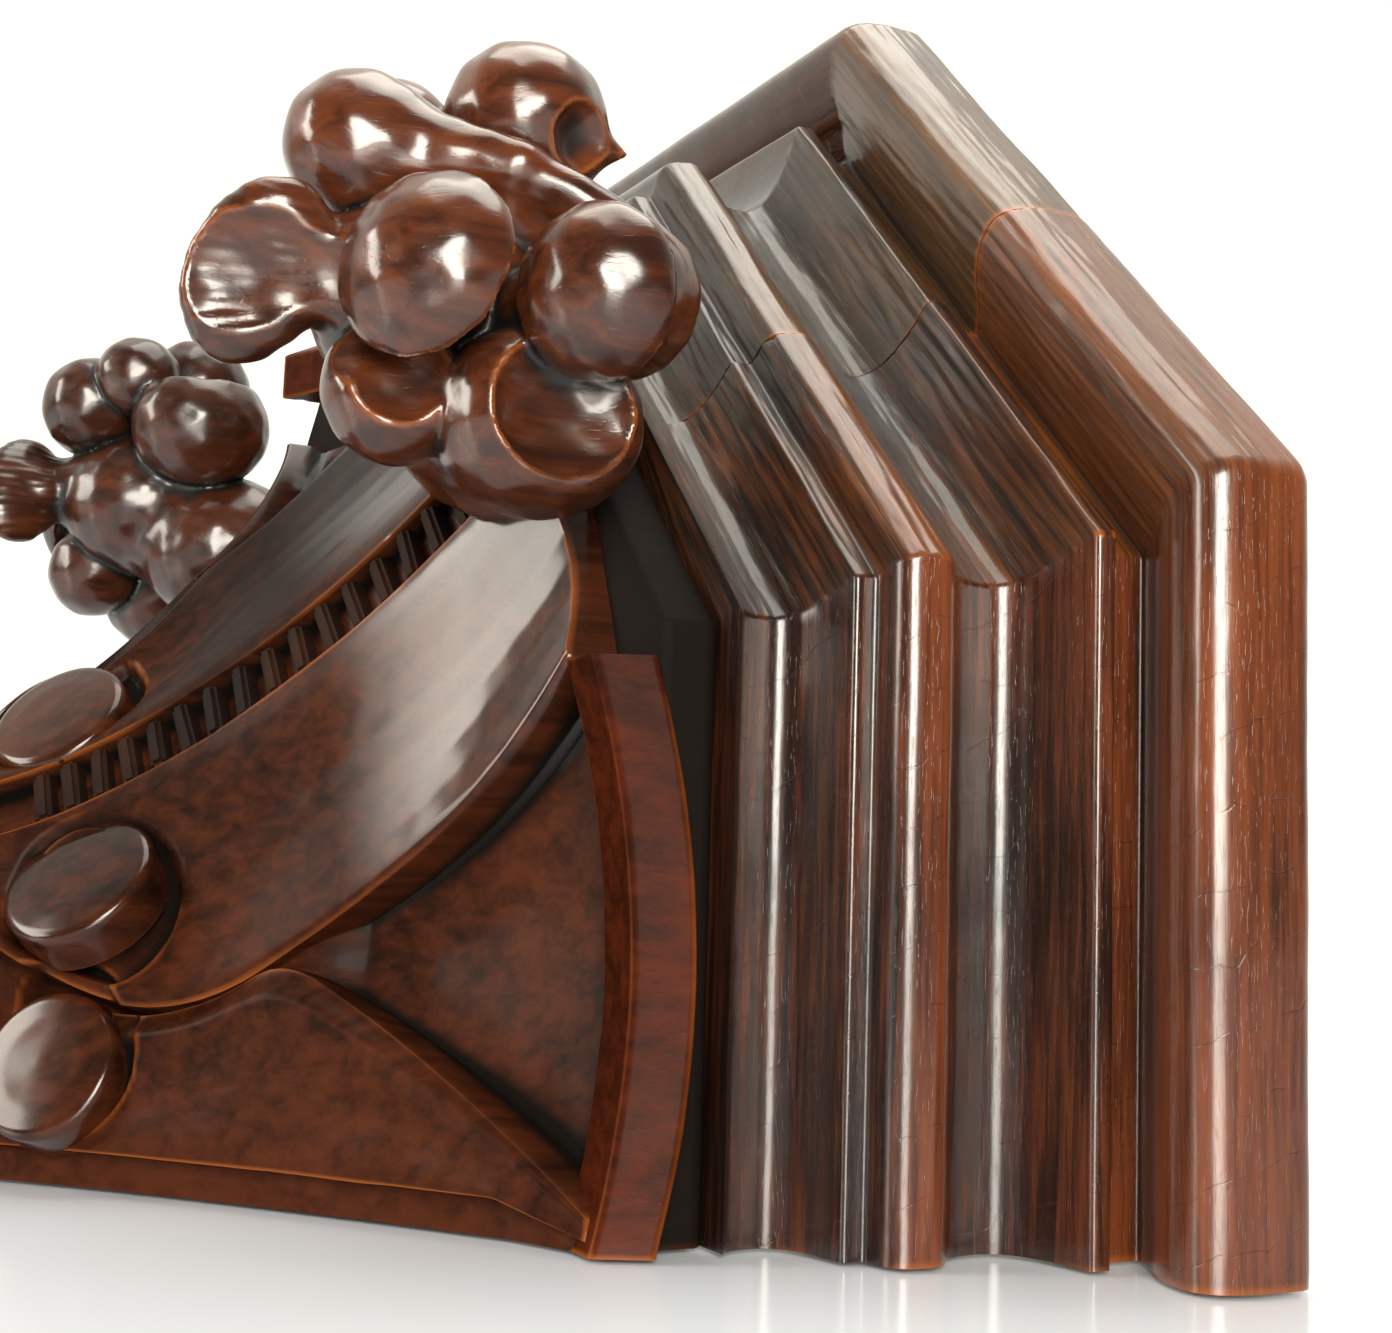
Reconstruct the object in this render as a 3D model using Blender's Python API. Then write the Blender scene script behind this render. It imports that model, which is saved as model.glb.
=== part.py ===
"""Carved wall shelf: a canted cornice carried on a carved foliate corbel.

Metres, +Z up. The back lies on the wall plane Y = 0, the front faces -Y and +X is the
shelf's own left hand side as it hangs. The origin is on the back, HANG_DROP below the top.

Heights are worked out as drops below the top. The carving is laid out on two middle lines:
"out" runs away from the wall's middle, along the diagonal of a canted corner or along X for
the half rib that dies into the wall, and "across" runs square to it.
"""

from math import cos, pi, radians, sin, sqrt, tan

import bmesh
import bpy
from mathutils import Matrix, Vector

# Overall plan, measured on the outermost edge of the top board
WIDTH = 0.3000
DEPTH = 0.1805
RETURN_LENGTH = 0.0948
HANG_DROP = 0.0400
FIT_GAP = 0.0003

# The carving is modelled this far past the wall plane and then cut off flat
WALL_ALLOWANCE = 0.0040

# Cornice section: insets are measured in from the board's edge, drops below the top
CORNICE_HEIGHT = 0.0555
MOULDING_WIDTH = 0.0765
BOARD_THICKNESS = 0.0154
BOARD_TOP_ROUND = 0.0030
BOARD_NOSE = 0.0075
QUIRK_DEPTH = 0.0065
QUIRK_BACK = 0.0040
FILLET_INSET = 0.0168
FILLET_DROP = 0.0190
FILLET_HEIGHT = 0.0028
COVE_INSET = 0.0305
BEAD_INSET = 0.0253
BEAD_DROP = 0.0370
BEAD_RADIUS = 0.0042
LOWER_FILLET_INSET = 0.0312
LOWER_FILLET_HEIGHT = 0.0030
LOWER_COVE_INSET = 0.0425
LOWER_COVE_FOOT = 0.0405

# Neck under the cornice, and the flat leaning strips cut on it
NECK_INSET = 0.0450
NECK_HEIGHT = 0.0145
STRIP_DROP = 0.0046
STRIP_HEIGHT = 0.0074
STRIP_LEAN = 0.0030
STRIP_ROOT = 0.0060
STRIP_STAND = 0.0052
STRIP_SAG = 0.0075
STRIP_REACH = 0.0710
FRONT_STRIP_REACH = 0.0330

# Bell: the concave ribs that run down from the neck
BELL_HEAD_DROP = 0.0016
BELL_HEIGHT = 0.0665
RIB_HEAD_INSET = 0.0010
RIB_FOOT_OUT = 0.0484
RIB_FOOT_SHIFT = -0.0216
RIB_HALF_WIDTH = 0.0410
RIB_BOW = 8.0
RIB_STAND = 0.0055
FLUTE_DEPTH = 0.0030
GROOVE_HALF_WIDTH = 0.0046
GROOVE_DEPTH = 0.0032
SIDE_RIB_FOOT_OUT = 0.0220
SIDE_RIB_HALF_WIDTH = 0.0330
SIDE_RIB_BOW = 4.0
PANEL_DISH = 0.0022
RIB_PARTING = 0.0042
VALLEY_WIDTH = 0.0020
BELL_ROWS = 14

# Dentils along the middle of each diagonal rib
DENTIL_COUNT = 17
DENTIL_START = 0.20
DENTIL_END = 0.92
DENTIL_ROOT = 0.0010
DENTIL_THICKNESS = 0.0022
DENTIL_HEIGHT = 0.0030

# Volute buttons at the foot of the flutes
BUTTON_RADIUS = 0.0098
BUTTON_STAND = 0.0030
BUTTON_ROOT = 0.0050
BUTTON_ACROSS = 0.0178
INNER_BUTTON_ACROSS = 0.0158
BUTTON_PLACE = 0.24
BUTTON_SIDES = 18

# Plain tail below the carving
TAIL_HEIGHT = 0.0420
TAIL_THROAT = 0.0060
TAIL_HALF_WIDTH = 0.0205
TAIL_DEPTH = 0.0560
ASTRAGAL_STAND = 0.0035

# Foliate boss on each canted corner, sizes about its middle
BOSS_OUT = 0.1450
BOSS_DROP = 0.0868
BOSS_SCALE = 1.0
LOBE_TURN = 17.0

# Stem of each boss: from inside the rib's head out to the middle of the boss
STEM_ROOT = 0.0121
STEM_HALF_WIDTH = 0.0160
STEM_HALF_HEIGHT = 0.0170
STEM_RISE = 0.0120

WOOD_COLOUR = (0.085, 0.022, 0.012, 1.0)
WOOD_ROUGHNESS = 0.28


def clear_scene():
    for old in list(bpy.data.objects):
        bpy.data.objects.remove(old, do_unlink=True)


def make_collection(name, parent=None):
    collection = bpy.data.collections.new(name)
    (parent or bpy.context.scene.collection).children.link(collection)
    return collection


def wood_material(name, tint):
    material = bpy.data.materials.new(name)
    material.use_nodes = True
    shader = material.node_tree.nodes["Principled BSDF"]
    colour = [channel * tint for channel in WOOD_COLOUR[:3]]
    shader.inputs["Base Color"].default_value = (*colour, 1.0)
    shader.inputs["Roughness"].default_value = WOOD_ROUGHNESS
    shader.inputs["Metallic"].default_value = 0.0
    return material


def level(drop):
    """Height of a point that lies this far below the top of the shelf."""
    return HANG_DROP - drop


def add_mesh(bm, name, collection, cutter=False):
    bmesh.ops.recalc_face_normals(bm, faces=bm.faces)
    mesh = bpy.data.meshes.new(name)
    bm.to_mesh(mesh)
    bm.free()
    obj = bpy.data.objects.new(name, mesh)
    collection.objects.link(obj)
    if cutter:
        obj.hide_render = True
        obj.display_type = "WIRE"
    return obj


def loft(bm, sections):
    """Skin closed loops of equal length into one capped body."""
    rings = [[bm.verts.new(point) for point in section] for section in sections]
    count = len(rings[0])
    for lower, upper in zip(rings, rings[1:]):
        for i in range(count):
            j = (i + 1) % count
            bm.faces.new((lower[i], lower[j], upper[j], upper[i]))
    bm.faces.new(list(reversed(rings[0])))
    bm.faces.new(rings[-1])


def bend(start, middle, end, steps):
    """Points of a quadratic curve, without its first point."""
    points = []
    for i in range(1, steps + 1):
        t = i / steps
        points.append(tuple((1 - t) ** 2 * a + 2 * t * (1 - t) * b + t * t * c
                            for a, b, c in zip(start, middle, end)))
    return points


# Plan of the shelf: the outline moved in by an inset, and the diagonal of its corner

HALF = WIDTH / 2
CANT_RUN = DEPTH - RETURN_LENGTH
CORNER_TURN = tan(radians(22.5))
OUTWARD = Vector((1, -1, 0)) / sqrt(2)
ACROSS = Vector((1, 1, 0)) / sqrt(2)
CANT_MIDDLE = Vector((HALF - CANT_RUN / 2, -(RETURN_LENGTH + CANT_RUN / 2), 0))
CANT_OUT = CANT_MIDDLE.dot(OUTWARD)
DIAGONAL_SHIFT = CANT_MIDDLE.dot(ACROSS)


def side_corner(inset):
    return Vector((HALF - inset, -(RETURN_LENGTH - inset * CORNER_TURN), 0))


def front_corner(inset):
    return Vector((HALF - CANT_RUN - inset * CORNER_TURN, -(DEPTH - inset), 0))


def mitre_point(inset):
    return CANT_MIDDLE - OUTWARD * inset


def wall_point(inset):
    return Vector((HALF - inset, 0, 0))


def mirrored(point):
    return Vector((-point.x, point.y, point.z))


def plan_outline(inset, drop):
    behind_wall = wall_point(inset) + Vector((0, WALL_ALLOWANCE, 0))
    right = [behind_wall, side_corner(inset), front_corner(inset)]
    ring = right + [mirrored(p) for p in reversed(right)]
    return [Vector((p.x, p.y, level(drop))) for p in ring]


def cornice_section():
    """Outer face of the cornice from the top arris down, as (inset, drop)."""
    fillet_top = FILLET_DROP - FILLET_HEIGHT
    nose_start = (0.0, BOARD_THICKNESS - BOARD_NOSE)
    nose_end = (BOARD_NOSE * 0.62, BOARD_THICKNESS)
    quirk_mouth = (FILLET_INSET - 0.0008, BOARD_THICKNESS - BOARD_NOSE * 0.62)
    quirk_back = FILLET_INSET + QUIRK_BACK
    bead_top = (BEAD_INSET + BEAD_RADIUS * 0.6, BEAD_DROP - BEAD_RADIUS * 1.15)
    bead_foot = (BEAD_INSET + BEAD_RADIUS * 0.9, BEAD_DROP + BEAD_RADIUS)
    lower_top = (LOWER_FILLET_INSET, BEAD_DROP + BEAD_RADIUS + 0.0003)
    lower_foot = (LOWER_FILLET_INSET, lower_top[1] + LOWER_FILLET_HEIGHT)
    cove_turn = (COVE_INSET, (FILLET_DROP + bead_top[1]) / 2)
    lower_turn = (LOWER_COVE_INSET, (lower_foot[1] + CORNICE_HEIGHT) / 2)

    points = [(BOARD_TOP_ROUND, 0.0)]
    points += bend(points[-1], (0.0, 0.0), (0.0, BOARD_TOP_ROUND), 4)
    points.append(nose_start)
    points += bend(nose_start, (BOARD_NOSE * 0.08, BOARD_THICKNESS), nose_end, 5)
    points += bend(nose_end, (FILLET_INSET * 0.6, BOARD_THICKNESS), quirk_mouth, 3)
    points += [(quirk_back, BOARD_THICKNESS - QUIRK_DEPTH), (quirk_back, fillet_top - 0.0008),
               (FILLET_INSET, fillet_top), (FILLET_INSET, FILLET_DROP)]
    points += bend(points[-1], (COVE_INSET, FILLET_DROP + 0.0010), cove_turn, 5)
    points += bend(cove_turn, (COVE_INSET, bead_top[1] - 0.0015), bead_top, 4)
    points += bend(bead_top, (BEAD_INSET - 0.0008, BEAD_DROP - BEAD_RADIUS * 0.6),
                   (BEAD_INSET, BEAD_DROP), 3)
    points += bend(points[-1], (BEAD_INSET, BEAD_DROP + BEAD_RADIUS), bead_foot, 3)
    points += [lower_top, lower_foot]
    points += bend(lower_foot, (LOWER_COVE_INSET, lower_foot[1] + 0.0012), lower_turn, 4)
    points += bend(lower_turn, (LOWER_COVE_INSET, CORNICE_HEIGHT - 0.0012),
                   (LOWER_COVE_FOOT, CORNICE_HEIGHT), 3)
    return points


SECTION = cornice_section()
INNER_X = HALF - MOULDING_WIDTH
INNER_Y = -(DEPTH - MOULDING_WIDTH)
MITRE_SHIFT = CANT_MIDDLE.x + CANT_MIDDLE.y


def closed_section(place, inner):
    """One cross-section of a moulding: its face by place(inset), then its flat inner side."""
    ring = [place(inset) + Vector((0, 0, level(drop))) for inset, drop in SECTION]
    ring.append(Vector((inner.x, inner.y, level(CORNICE_HEIGHT))))
    ring.append(Vector((inner.x, inner.y, level(0.0))))
    return ring


def make_mouldings(collection, material):
    half_gap = FIT_GAP / 2
    along = ACROSS * half_gap
    side_mitre = Vector((INNER_X, MITRE_SHIFT - INNER_X, 0))
    front_mitre = Vector((MITRE_SHIFT - INNER_Y, INNER_Y, 0))
    side_inner_turn = Vector((INNER_X, side_corner(MOULDING_WIDTH).y, 0))
    front_inner_turn = Vector((front_corner(MOULDING_WIDTH).x, INNER_Y, 0))

    right_sections = [
        closed_section(wall_point, Vector((INNER_X, 0, 0))),
        closed_section(side_corner, side_inner_turn),
        closed_section(lambda inset: mitre_point(inset) + along, side_mitre + along),
    ]
    front_half = [
        closed_section(lambda inset: mitre_point(inset) - along, front_mitre - along),
        closed_section(front_corner, front_inner_turn),
    ]
    front_sections = [[mirrored(p) for p in ring] for ring in front_half]
    front_sections += list(reversed(front_half))
    left_sections = [[mirrored(p) for p in ring] for ring in right_sections]

    for name, sections in (("right_moulding", right_sections),
                           ("front_moulding", front_sections),
                           ("left_moulding", left_sections)):
        bm = bmesh.new()
        loft(bm, sections)
        moulding = add_mesh(bm, name, collection)
        moulding.data.materials.append(material)


# Bell: every row runs round the corbel from the wall to the middle of the front

NECK_FOOT = CORNICE_HEIGHT + NECK_HEIGHT
BELL_TOP = NECK_FOOT + BELL_HEAD_DROP
BELL_FOOT = BELL_TOP + BELL_HEIGHT
RIB_TOP_OUT = CANT_OUT - NECK_INSET - RIB_HEAD_INSET
SIDE_RIB_TOP_OUT = HALF - NECK_INSET
RIB_SHAPE = ((0.0, 1.0), (0.05, 0.635), (0.538, 0.182), (1.0, 0.0))
SIDE_RIB_SHAPE = ((0.0, 1.0), (0.19, 0.70), (0.68, 0.25), (1.0, 0.0))
SIDE_FRAME = (Vector((1, 0, 0)), Vector((0, -1, 0)), 0.0)


def rib_line(shape, foot_out, top_out, t):
    """Point and outward normal of a rib's middle line, as (out, drop) pairs; t runs upward."""
    s = 1 - t
    weights = (s ** 3, 3 * s * s * t, 3 * s * t * t, t ** 3)
    slopes = (-3 * s * s, 3 * s * s - 6 * s * t, 6 * s * t - 3 * t * t, 3 * t * t)
    out, drop, run, fall = 0.0, 0.0, 0.0, 0.0
    for weight, slope, (reach, depth) in zip(weights, slopes, shape):
        point_out = foot_out + reach * (top_out - foot_out)
        point_drop = BELL_TOP + depth * BELL_HEIGHT
        out += weight * point_out
        drop += weight * point_drop
        run += slope * point_out
        fall += slope * point_drop
    size = sqrt(run * run + fall * fall)
    return (out, drop), (-fall / size, run / size)


def rib_point(line, frame, bow, across, lift):
    """A point on a rib: across its middle line, lifted off its face."""
    (out, drop), (normal_out, normal_drop) = line
    outward, sideways, shift = frame
    reach = out - bow * across * across + lift * normal_out
    point = outward * reach + sideways * (across + shift)
    point.z = level(drop + lift * normal_drop)
    return point


def diagonal_line(t):
    return rib_line(RIB_SHAPE, RIB_FOOT_OUT, RIB_TOP_OUT, t)


def diagonal_frame(t):
    """The rib stands square under the cant, and its foot keeps its own place on the tail."""
    return OUTWARD, ACROSS, RIB_FOOT_SHIFT + t * (DIAGONAL_SHIFT - RIB_FOOT_SHIFT)


def side_line(t):
    return rib_line(SIDE_RIB_SHAPE, SIDE_RIB_FOOT_OUT, SIDE_RIB_TOP_OUT, t)


def rib_width(t):
    spread = 0.30 + 0.70 * sin(min(t / 0.5, 1.0) * pi / 2)
    taper = 0.12 * max(0.0, (t - 0.75) / 0.25) ** 2
    return RIB_HALF_WIDTH * (spread - taper)


def inner_rib_width(t):
    """Half width on the front side, where the two diagonal ribs nearly meet."""
    (out, _), _ = diagonal_line(t)
    width = rib_width(t)
    room = out - RIB_BOW * width * width + diagonal_frame(t)[2] - RIB_PARTING
    return min(width, room)


def side_rib_width(t):
    spread = 0.30 + 0.70 * sin(min(t / 0.5, 1.0) * pi / 2)
    close = 1.0 - 0.88 * max(0.0, (t - 0.55) / 0.45) ** 1.1
    return SIDE_RIB_HALF_WIDTH * spread * close


# Cross-section of half a rib from its groove to its edge: (share of the way, flute depth)
FLUTE = ((0.14, 0.0), (0.27, 0.45), (0.43, 0.90), (0.60, 1.0), (0.76, 0.75), (0.90, 0.0),
         (1.0, 0.0))
PANEL_SHARES = (0.05, 0.27, 0.5, 0.73, 0.95)
FRONT_SHARES = (0.10, 0.40, 0.70, 1.0)


def groove_size(width):
    """Half width and depth of the groove, which closes where its rib runs out."""
    groove = min(GROOVE_HALF_WIDTH, width * 0.35)
    return groove, min(GROOVE_DEPTH, groove * 0.7)


def half_rib(line, frame, bow, width, side):
    """Points of a rib from its groove out to its edge, on one side."""
    groove, groove_depth = groove_size(width)
    flute_depth = min(FLUTE_DEPTH, (width - groove) * 0.15)
    steps = [(groove, -groove_depth), (groove + groove_depth * 0.2, 0.0)]
    steps += [(groove + share * (width - groove), -depth * flute_depth)
              for share, depth in FLUTE]
    return [rib_point(line, frame, bow, side * across, lift) for across, lift in steps]


def sunk(start, end, shares, normal, room, full):
    """Sunk and dished surface from one rib edge to another, or to half way."""
    sink = min(RIB_STAND, room * 0.5)
    dish = min(PANEL_DISH, room * 0.1)
    points = []
    for share in shares:
        depth = sink + dish * sin(share * full)
        points.append(start.lerp(end, share) - normal * depth)
    return points


def world_normal(line, frame):
    normal = frame[0] * line[1][0]
    normal.z = -line[1][1]
    return normal


def bell_row(t):
    """Half a ring of the bell, from the wall to the middle of the front."""
    side, diagonal = side_line(t), diagonal_line(t)
    frame = diagonal_frame(t)
    width = rib_width(t)
    near_edge = rib_point(diagonal, frame, RIB_BOW, width, 0.0)
    side_width = min(side_rib_width(t), -near_edge.y - VALLEY_WIDTH)
    side_normal = world_normal(side, SIDE_FRAME)
    rib_normal = world_normal(diagonal, frame)

    row = [rib_point(side, SIDE_FRAME, SIDE_RIB_BOW, 0.0, -groove_size(side_width)[1])]
    row += half_rib(side, SIDE_FRAME, SIDE_RIB_BOW, side_width, 1)
    normal = (side_normal + rib_normal).normalized()
    gap = (row[-1] - near_edge).length
    row += sunk(row[-1], near_edge, PANEL_SHARES, normal, gap, pi)
    row += list(reversed(half_rib(diagonal, frame, RIB_BOW, width, 1)))
    row += half_rib(diagonal, frame, RIB_BOW, inner_rib_width(t), -1)
    middle = Vector((0.0, row[-1].y, row[-1].z))
    normal = Vector((0, -rib_normal.to_2d().length, rib_normal.z))
    row += sunk(row[-1], middle, FRONT_SHARES, normal, row[-1].x, pi / 2)
    return row


def tail_row(half_width, depth, drop, count):
    row = []
    for i in range(count):
        angle = pi / 2 * i / (count - 1)
        row.append(Vector((half_width * cos(angle), -depth * sin(angle), level(drop))))
    return row


def whole_ring(half):
    """Close half a row with its mirror image; both ends run past the wall, to be cut."""
    past_wall = [half[0] + Vector((0, WALL_ALLOWANCE, 0))]
    return past_wall + half + [mirrored(p) for p in reversed(past_wall + half[:-1])]


def tail_rows(count):
    """Plain tail: a hollow neck, an astragal and a bud that dies into the wall."""
    stand = ASTRAGAL_STAND
    profile = ((0.84, 0.88, 0.18, 0.0), (0.84, 0.88, 0.20, stand * 0.8),
               (0.84, 0.88, 0.26, stand), (0.84, 0.88, 0.32, stand * 0.8),
               (0.82, 0.86, 0.34, 0.0), (0.72, 0.74, 0.62, 0.0), (0.22, 0.20, 1.00, 0.0))
    rows = []
    for width, depth, drop, proud in profile:
        rows.append(tail_row(TAIL_HALF_WIDTH * width + proud, TAIL_DEPTH * depth + proud,
                             BELL_FOOT + TAIL_THROAT + drop * (TAIL_HEIGHT - TAIL_THROAT), count))
    return rows


def make_bell(collection, material):
    rows = [bell_row(i / BELL_ROWS) for i in range(BELL_ROWS + 1)]
    count = len(rows[0])
    inside_neck = [Vector((p.x * 0.93, p.y * 0.93, level(BELL_TOP - NECK_HEIGHT / 2)))
                   for p in rows[-1]]
    halves = list(reversed(tail_rows(count))) + rows + [inside_neck]
    bm = bmesh.new()
    loft(bm, [whole_ring(half) for half in halves])
    bell = add_mesh(bm, "carved_corbel", collection)
    bell.data.materials.append(material)
    return bell


def make_block(added):
    """The plain block that the mouldings are planted round, and the neck under them."""
    block_half = INNER_X - FIT_GAP
    block_depth = -INNER_Y - FIT_GAP
    block_height = CORNICE_HEIGHT + NECK_HEIGHT / 2
    bm = bmesh.new()
    bmesh.ops.create_cube(bm, size=1.0)
    run = block_depth + WALL_ALLOWANCE
    bmesh.ops.scale(bm, vec=(block_half * 2, run, block_height), verts=bm.verts)
    middle = (0, WALL_ALLOWANCE - run / 2, level(block_height / 2))
    bmesh.ops.translate(bm, vec=middle, verts=bm.verts)
    add_mesh(bm, "upper_block", added, cutter=True)

    bm = bmesh.new()
    neck_top = CORNICE_HEIGHT + FIT_GAP
    loft(bm, [plan_outline(NECK_INSET, NECK_FOOT), plan_outline(NECK_INSET, neck_top)])
    add_mesh(bm, "neck", added, cutter=True)


def strip_section(place, along, sag):
    """Section of a neck strip: its face leans outward toward the top."""
    top = CORNICE_HEIGHT + STRIP_DROP + sag
    foot = top + STRIP_HEIGHT
    outer, root = NECK_INSET - STRIP_STAND, NECK_INSET + STRIP_ROOT
    corners = ((outer, top), (outer + STRIP_LEAN, foot), (root, foot), (root, top))
    return [place(inset, along) + Vector((0, 0, level(drop))) for inset, drop in corners]


def make_strips(added):
    def on_side(inset, along):
        return Vector((HALF - inset, -along, 0))

    def on_front(inset, along):
        return Vector((along, -(DEPTH - inset), 0))

    steps = 8
    side, front = [], []
    for i in range(steps + 1):
        share = i / steps
        along = share * (STRIP_REACH + WALL_ALLOWANCE) - WALL_ALLOWANCE
        side.append(strip_section(on_side, along, STRIP_SAG * (1.7 * (share - 0.45)) ** 2))
        offset = 2 * share - 1
        front.append(strip_section(on_front, offset * FRONT_STRIP_REACH,
                                   STRIP_SAG * offset * offset))
    left = [[mirrored(p) for p in ring] for ring in side]
    for name, sections in (("right_strip", side), ("left_strip", left), ("front_strip", front)):
        bm = bmesh.new()
        loft(bm, sections)
        add_mesh(bm, name, added, cutter=True)


def surface_frame(line, frame, bow, across, side=1):
    """Matrix on a rib's face: Z along the middle line's normal, X across the rib."""
    normal = world_normal(line, frame)
    across_axis = frame[1]
    matrix = Matrix((across_axis, normal.cross(across_axis), normal)).transposed().to_4x4()
    matrix.translation = rib_point(line, frame, bow, across, 0.0)
    if side < 0:
        matrix = Matrix.Diagonal((-1, 1, 1, 1)) @ matrix
    return matrix


def make_buttons(added):
    """Flat round volute eyes at the foot of every flute."""
    diagonal, side_rib = diagonal_line(BUTTON_PLACE), side_line(BUTTON_PLACE)
    frame = diagonal_frame(BUTTON_PLACE)
    places = []
    for side in (1, -1):
        places.append(surface_frame(diagonal, frame, RIB_BOW, BUTTON_ACROSS, side))
        places.append(surface_frame(diagonal, frame, RIB_BOW, -INNER_BUTTON_ACROSS, side))
        places.append(surface_frame(side_rib, SIDE_FRAME, SIDE_RIB_BOW, BUTTON_ACROSS, side))
    height = BUTTON_STAND + BUTTON_ROOT
    bm = bmesh.new()
    for place in places:
        lift = Matrix.Translation((0, 0, BUTTON_STAND - height / 2))
        bmesh.ops.create_cone(bm, cap_ends=True, segments=BUTTON_SIDES, radius1=BUTTON_RADIUS,
                              radius2=BUTTON_RADIUS, depth=height, matrix=place @ lift)
    add_mesh(bm, "volute_buttons", added, cutter=True)


def make_dentils(added):
    """Small teeth across the groove of each diagonal rib."""
    bm = bmesh.new()
    for side in (1, -1):
        for i in range(DENTIL_COUNT):
            run = DENTIL_END - DENTIL_START
            t = DENTIL_START + run * i / (DENTIL_COUNT - 1)
            place = surface_frame(diagonal_line(t), diagonal_frame(t), RIB_BOW, 0.0, side)
            foot = -GROOVE_DEPTH - DENTIL_ROOT
            lift = Matrix.Translation((0, 0, foot + DENTIL_HEIGHT / 2))
            length = GROOVE_HALF_WIDTH * 2 + DENTIL_ROOT
            size = Matrix.Diagonal((length, DENTIL_THICKNESS, DENTIL_HEIGHT, 1))
            bmesh.ops.create_cube(bm, size=1.0, matrix=place @ lift @ size)
    add_mesh(bm, "dentils", added, cutter=True)


# Boss: lobes as (name, middle, half sizes), each (out, across, up) in thousandths of a metre
BOSS_LOBES = (
    ("heart", (-1, 0, -1), (19, 18, 20)),
    ("lower_ball", (13, 14, -12), (10.6, 10.6, 10.6)),
    ("upper_ball", (15.5, 18.5, 10.5), (10.8, 10.8, 10.8)),
    ("tongue", (3, 0, -20), (8, 9, 12)),
    ("lower_leaf", (-9, 14, -9), (7, 9, 11)),
    ("side_leaf", (-6, 20, 8), (8, 12, 13)),
)
BOSS_HOLLOWS = (
    ("leaf_spoon", (0, 30, 4), (7, 8, 10)),
    ("crown_hollow", (21, 0, 10), (9, 7, 9)),
)


def stem_lobe():
    """The stem always joins the boss to the neck, however far out the boss stands."""
    half = (BOSS_OUT - RIB_TOP_OUT + STEM_ROOT) / 2
    sizes = (half, STEM_HALF_WIDTH, STEM_HALF_HEIGHT)
    return "stem", (-half * 1000, 0, STEM_RISE * 1000), tuple(size * 1000 for size in sizes)


def make_wall_cut(hollows):
    """Everything behind the wall plane is cut off flat."""
    thickness = WALL_ALLOWANCE * 5
    bm = bmesh.new()
    bmesh.ops.create_cube(bm, size=1.0)
    bmesh.ops.scale(bm, vec=(WIDTH * 2, thickness, WIDTH * 3), verts=bm.verts)
    bmesh.ops.translate(bm, vec=(0, thickness / 2, 0), verts=bm.verts)
    add_mesh(bm, "wall_cut", hollows, cutter=True)


def boss_place(side):
    matrix = Matrix((OUTWARD, ACROSS, (0, 0, 1))).transposed().to_4x4()
    matrix.translation = OUTWARD * BOSS_OUT + ACROSS * DIAGONAL_SHIFT
    matrix.translation.z = level(BOSS_DROP)
    matrix = matrix @ Matrix.Scale(BOSS_SCALE, 4)
    if side < 0:
        matrix = Matrix.Diagonal((-1, 1, 1, 1)) @ matrix
    return matrix


def make_lobes(lobes, collection, segments, rings):
    for side, side_name in ((1, "right"), (-1, "left")):
        for name, middle, radii in lobes:
            hands = (1, -1) if middle[1] else (1,)
            for hand in hands:
                bm = bmesh.new()
                centre = Vector((middle[0], middle[1] * hand, middle[2])) / 1000
                turn = Matrix.Rotation(radians(LOBE_TURN) * hand * side, 4, "X")
                place = boss_place(side) @ Matrix.Translation(centre) @ turn
                size = Matrix.Diagonal([radius / 1000 for radius in radii]).to_4x4()
                bmesh.ops.create_uvsphere(bm, u_segments=segments, v_segments=rings,
                                          radius=1.0, matrix=place @ size)
                add_mesh(bm, f"{side_name}_{name}_{hand}", collection, cutter=True)


def combine(obj, collection, operation):
    modifier = obj.modifiers.new(collection.name, "BOOLEAN")
    modifier.operand_type = "COLLECTION"
    modifier.collection = collection
    modifier.operation = operation
    modifier.solver = "EXACT"


def main():
    clear_scene()
    shelf = make_collection("carved_wall_shelf")
    cutters = make_collection("cutters")
    added = make_collection("carving_added", cutters)
    hollows = make_collection("carving_hollows", cutters)

    make_mouldings(shelf, wood_material("moulding_wood", 1.0))
    corbel = make_bell(shelf, wood_material("corbel_wood", 0.85))
    make_block(added)
    make_strips(added)
    make_buttons(added)
    make_dentils(added)
    make_lobes(BOSS_LOBES + (stem_lobe(),), added, 12, 8)
    make_lobes(BOSS_HOLLOWS, hollows, 10, 6)
    make_wall_cut(hollows)
    combine(corbel, added, "UNION")
    combine(corbel, hollows, "DIFFERENCE")


main()
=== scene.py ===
from math import pi, radians, sin, sqrt, tan

import bmesh
import bpy
import numpy as np
from mathutils import Matrix, Vector


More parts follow.
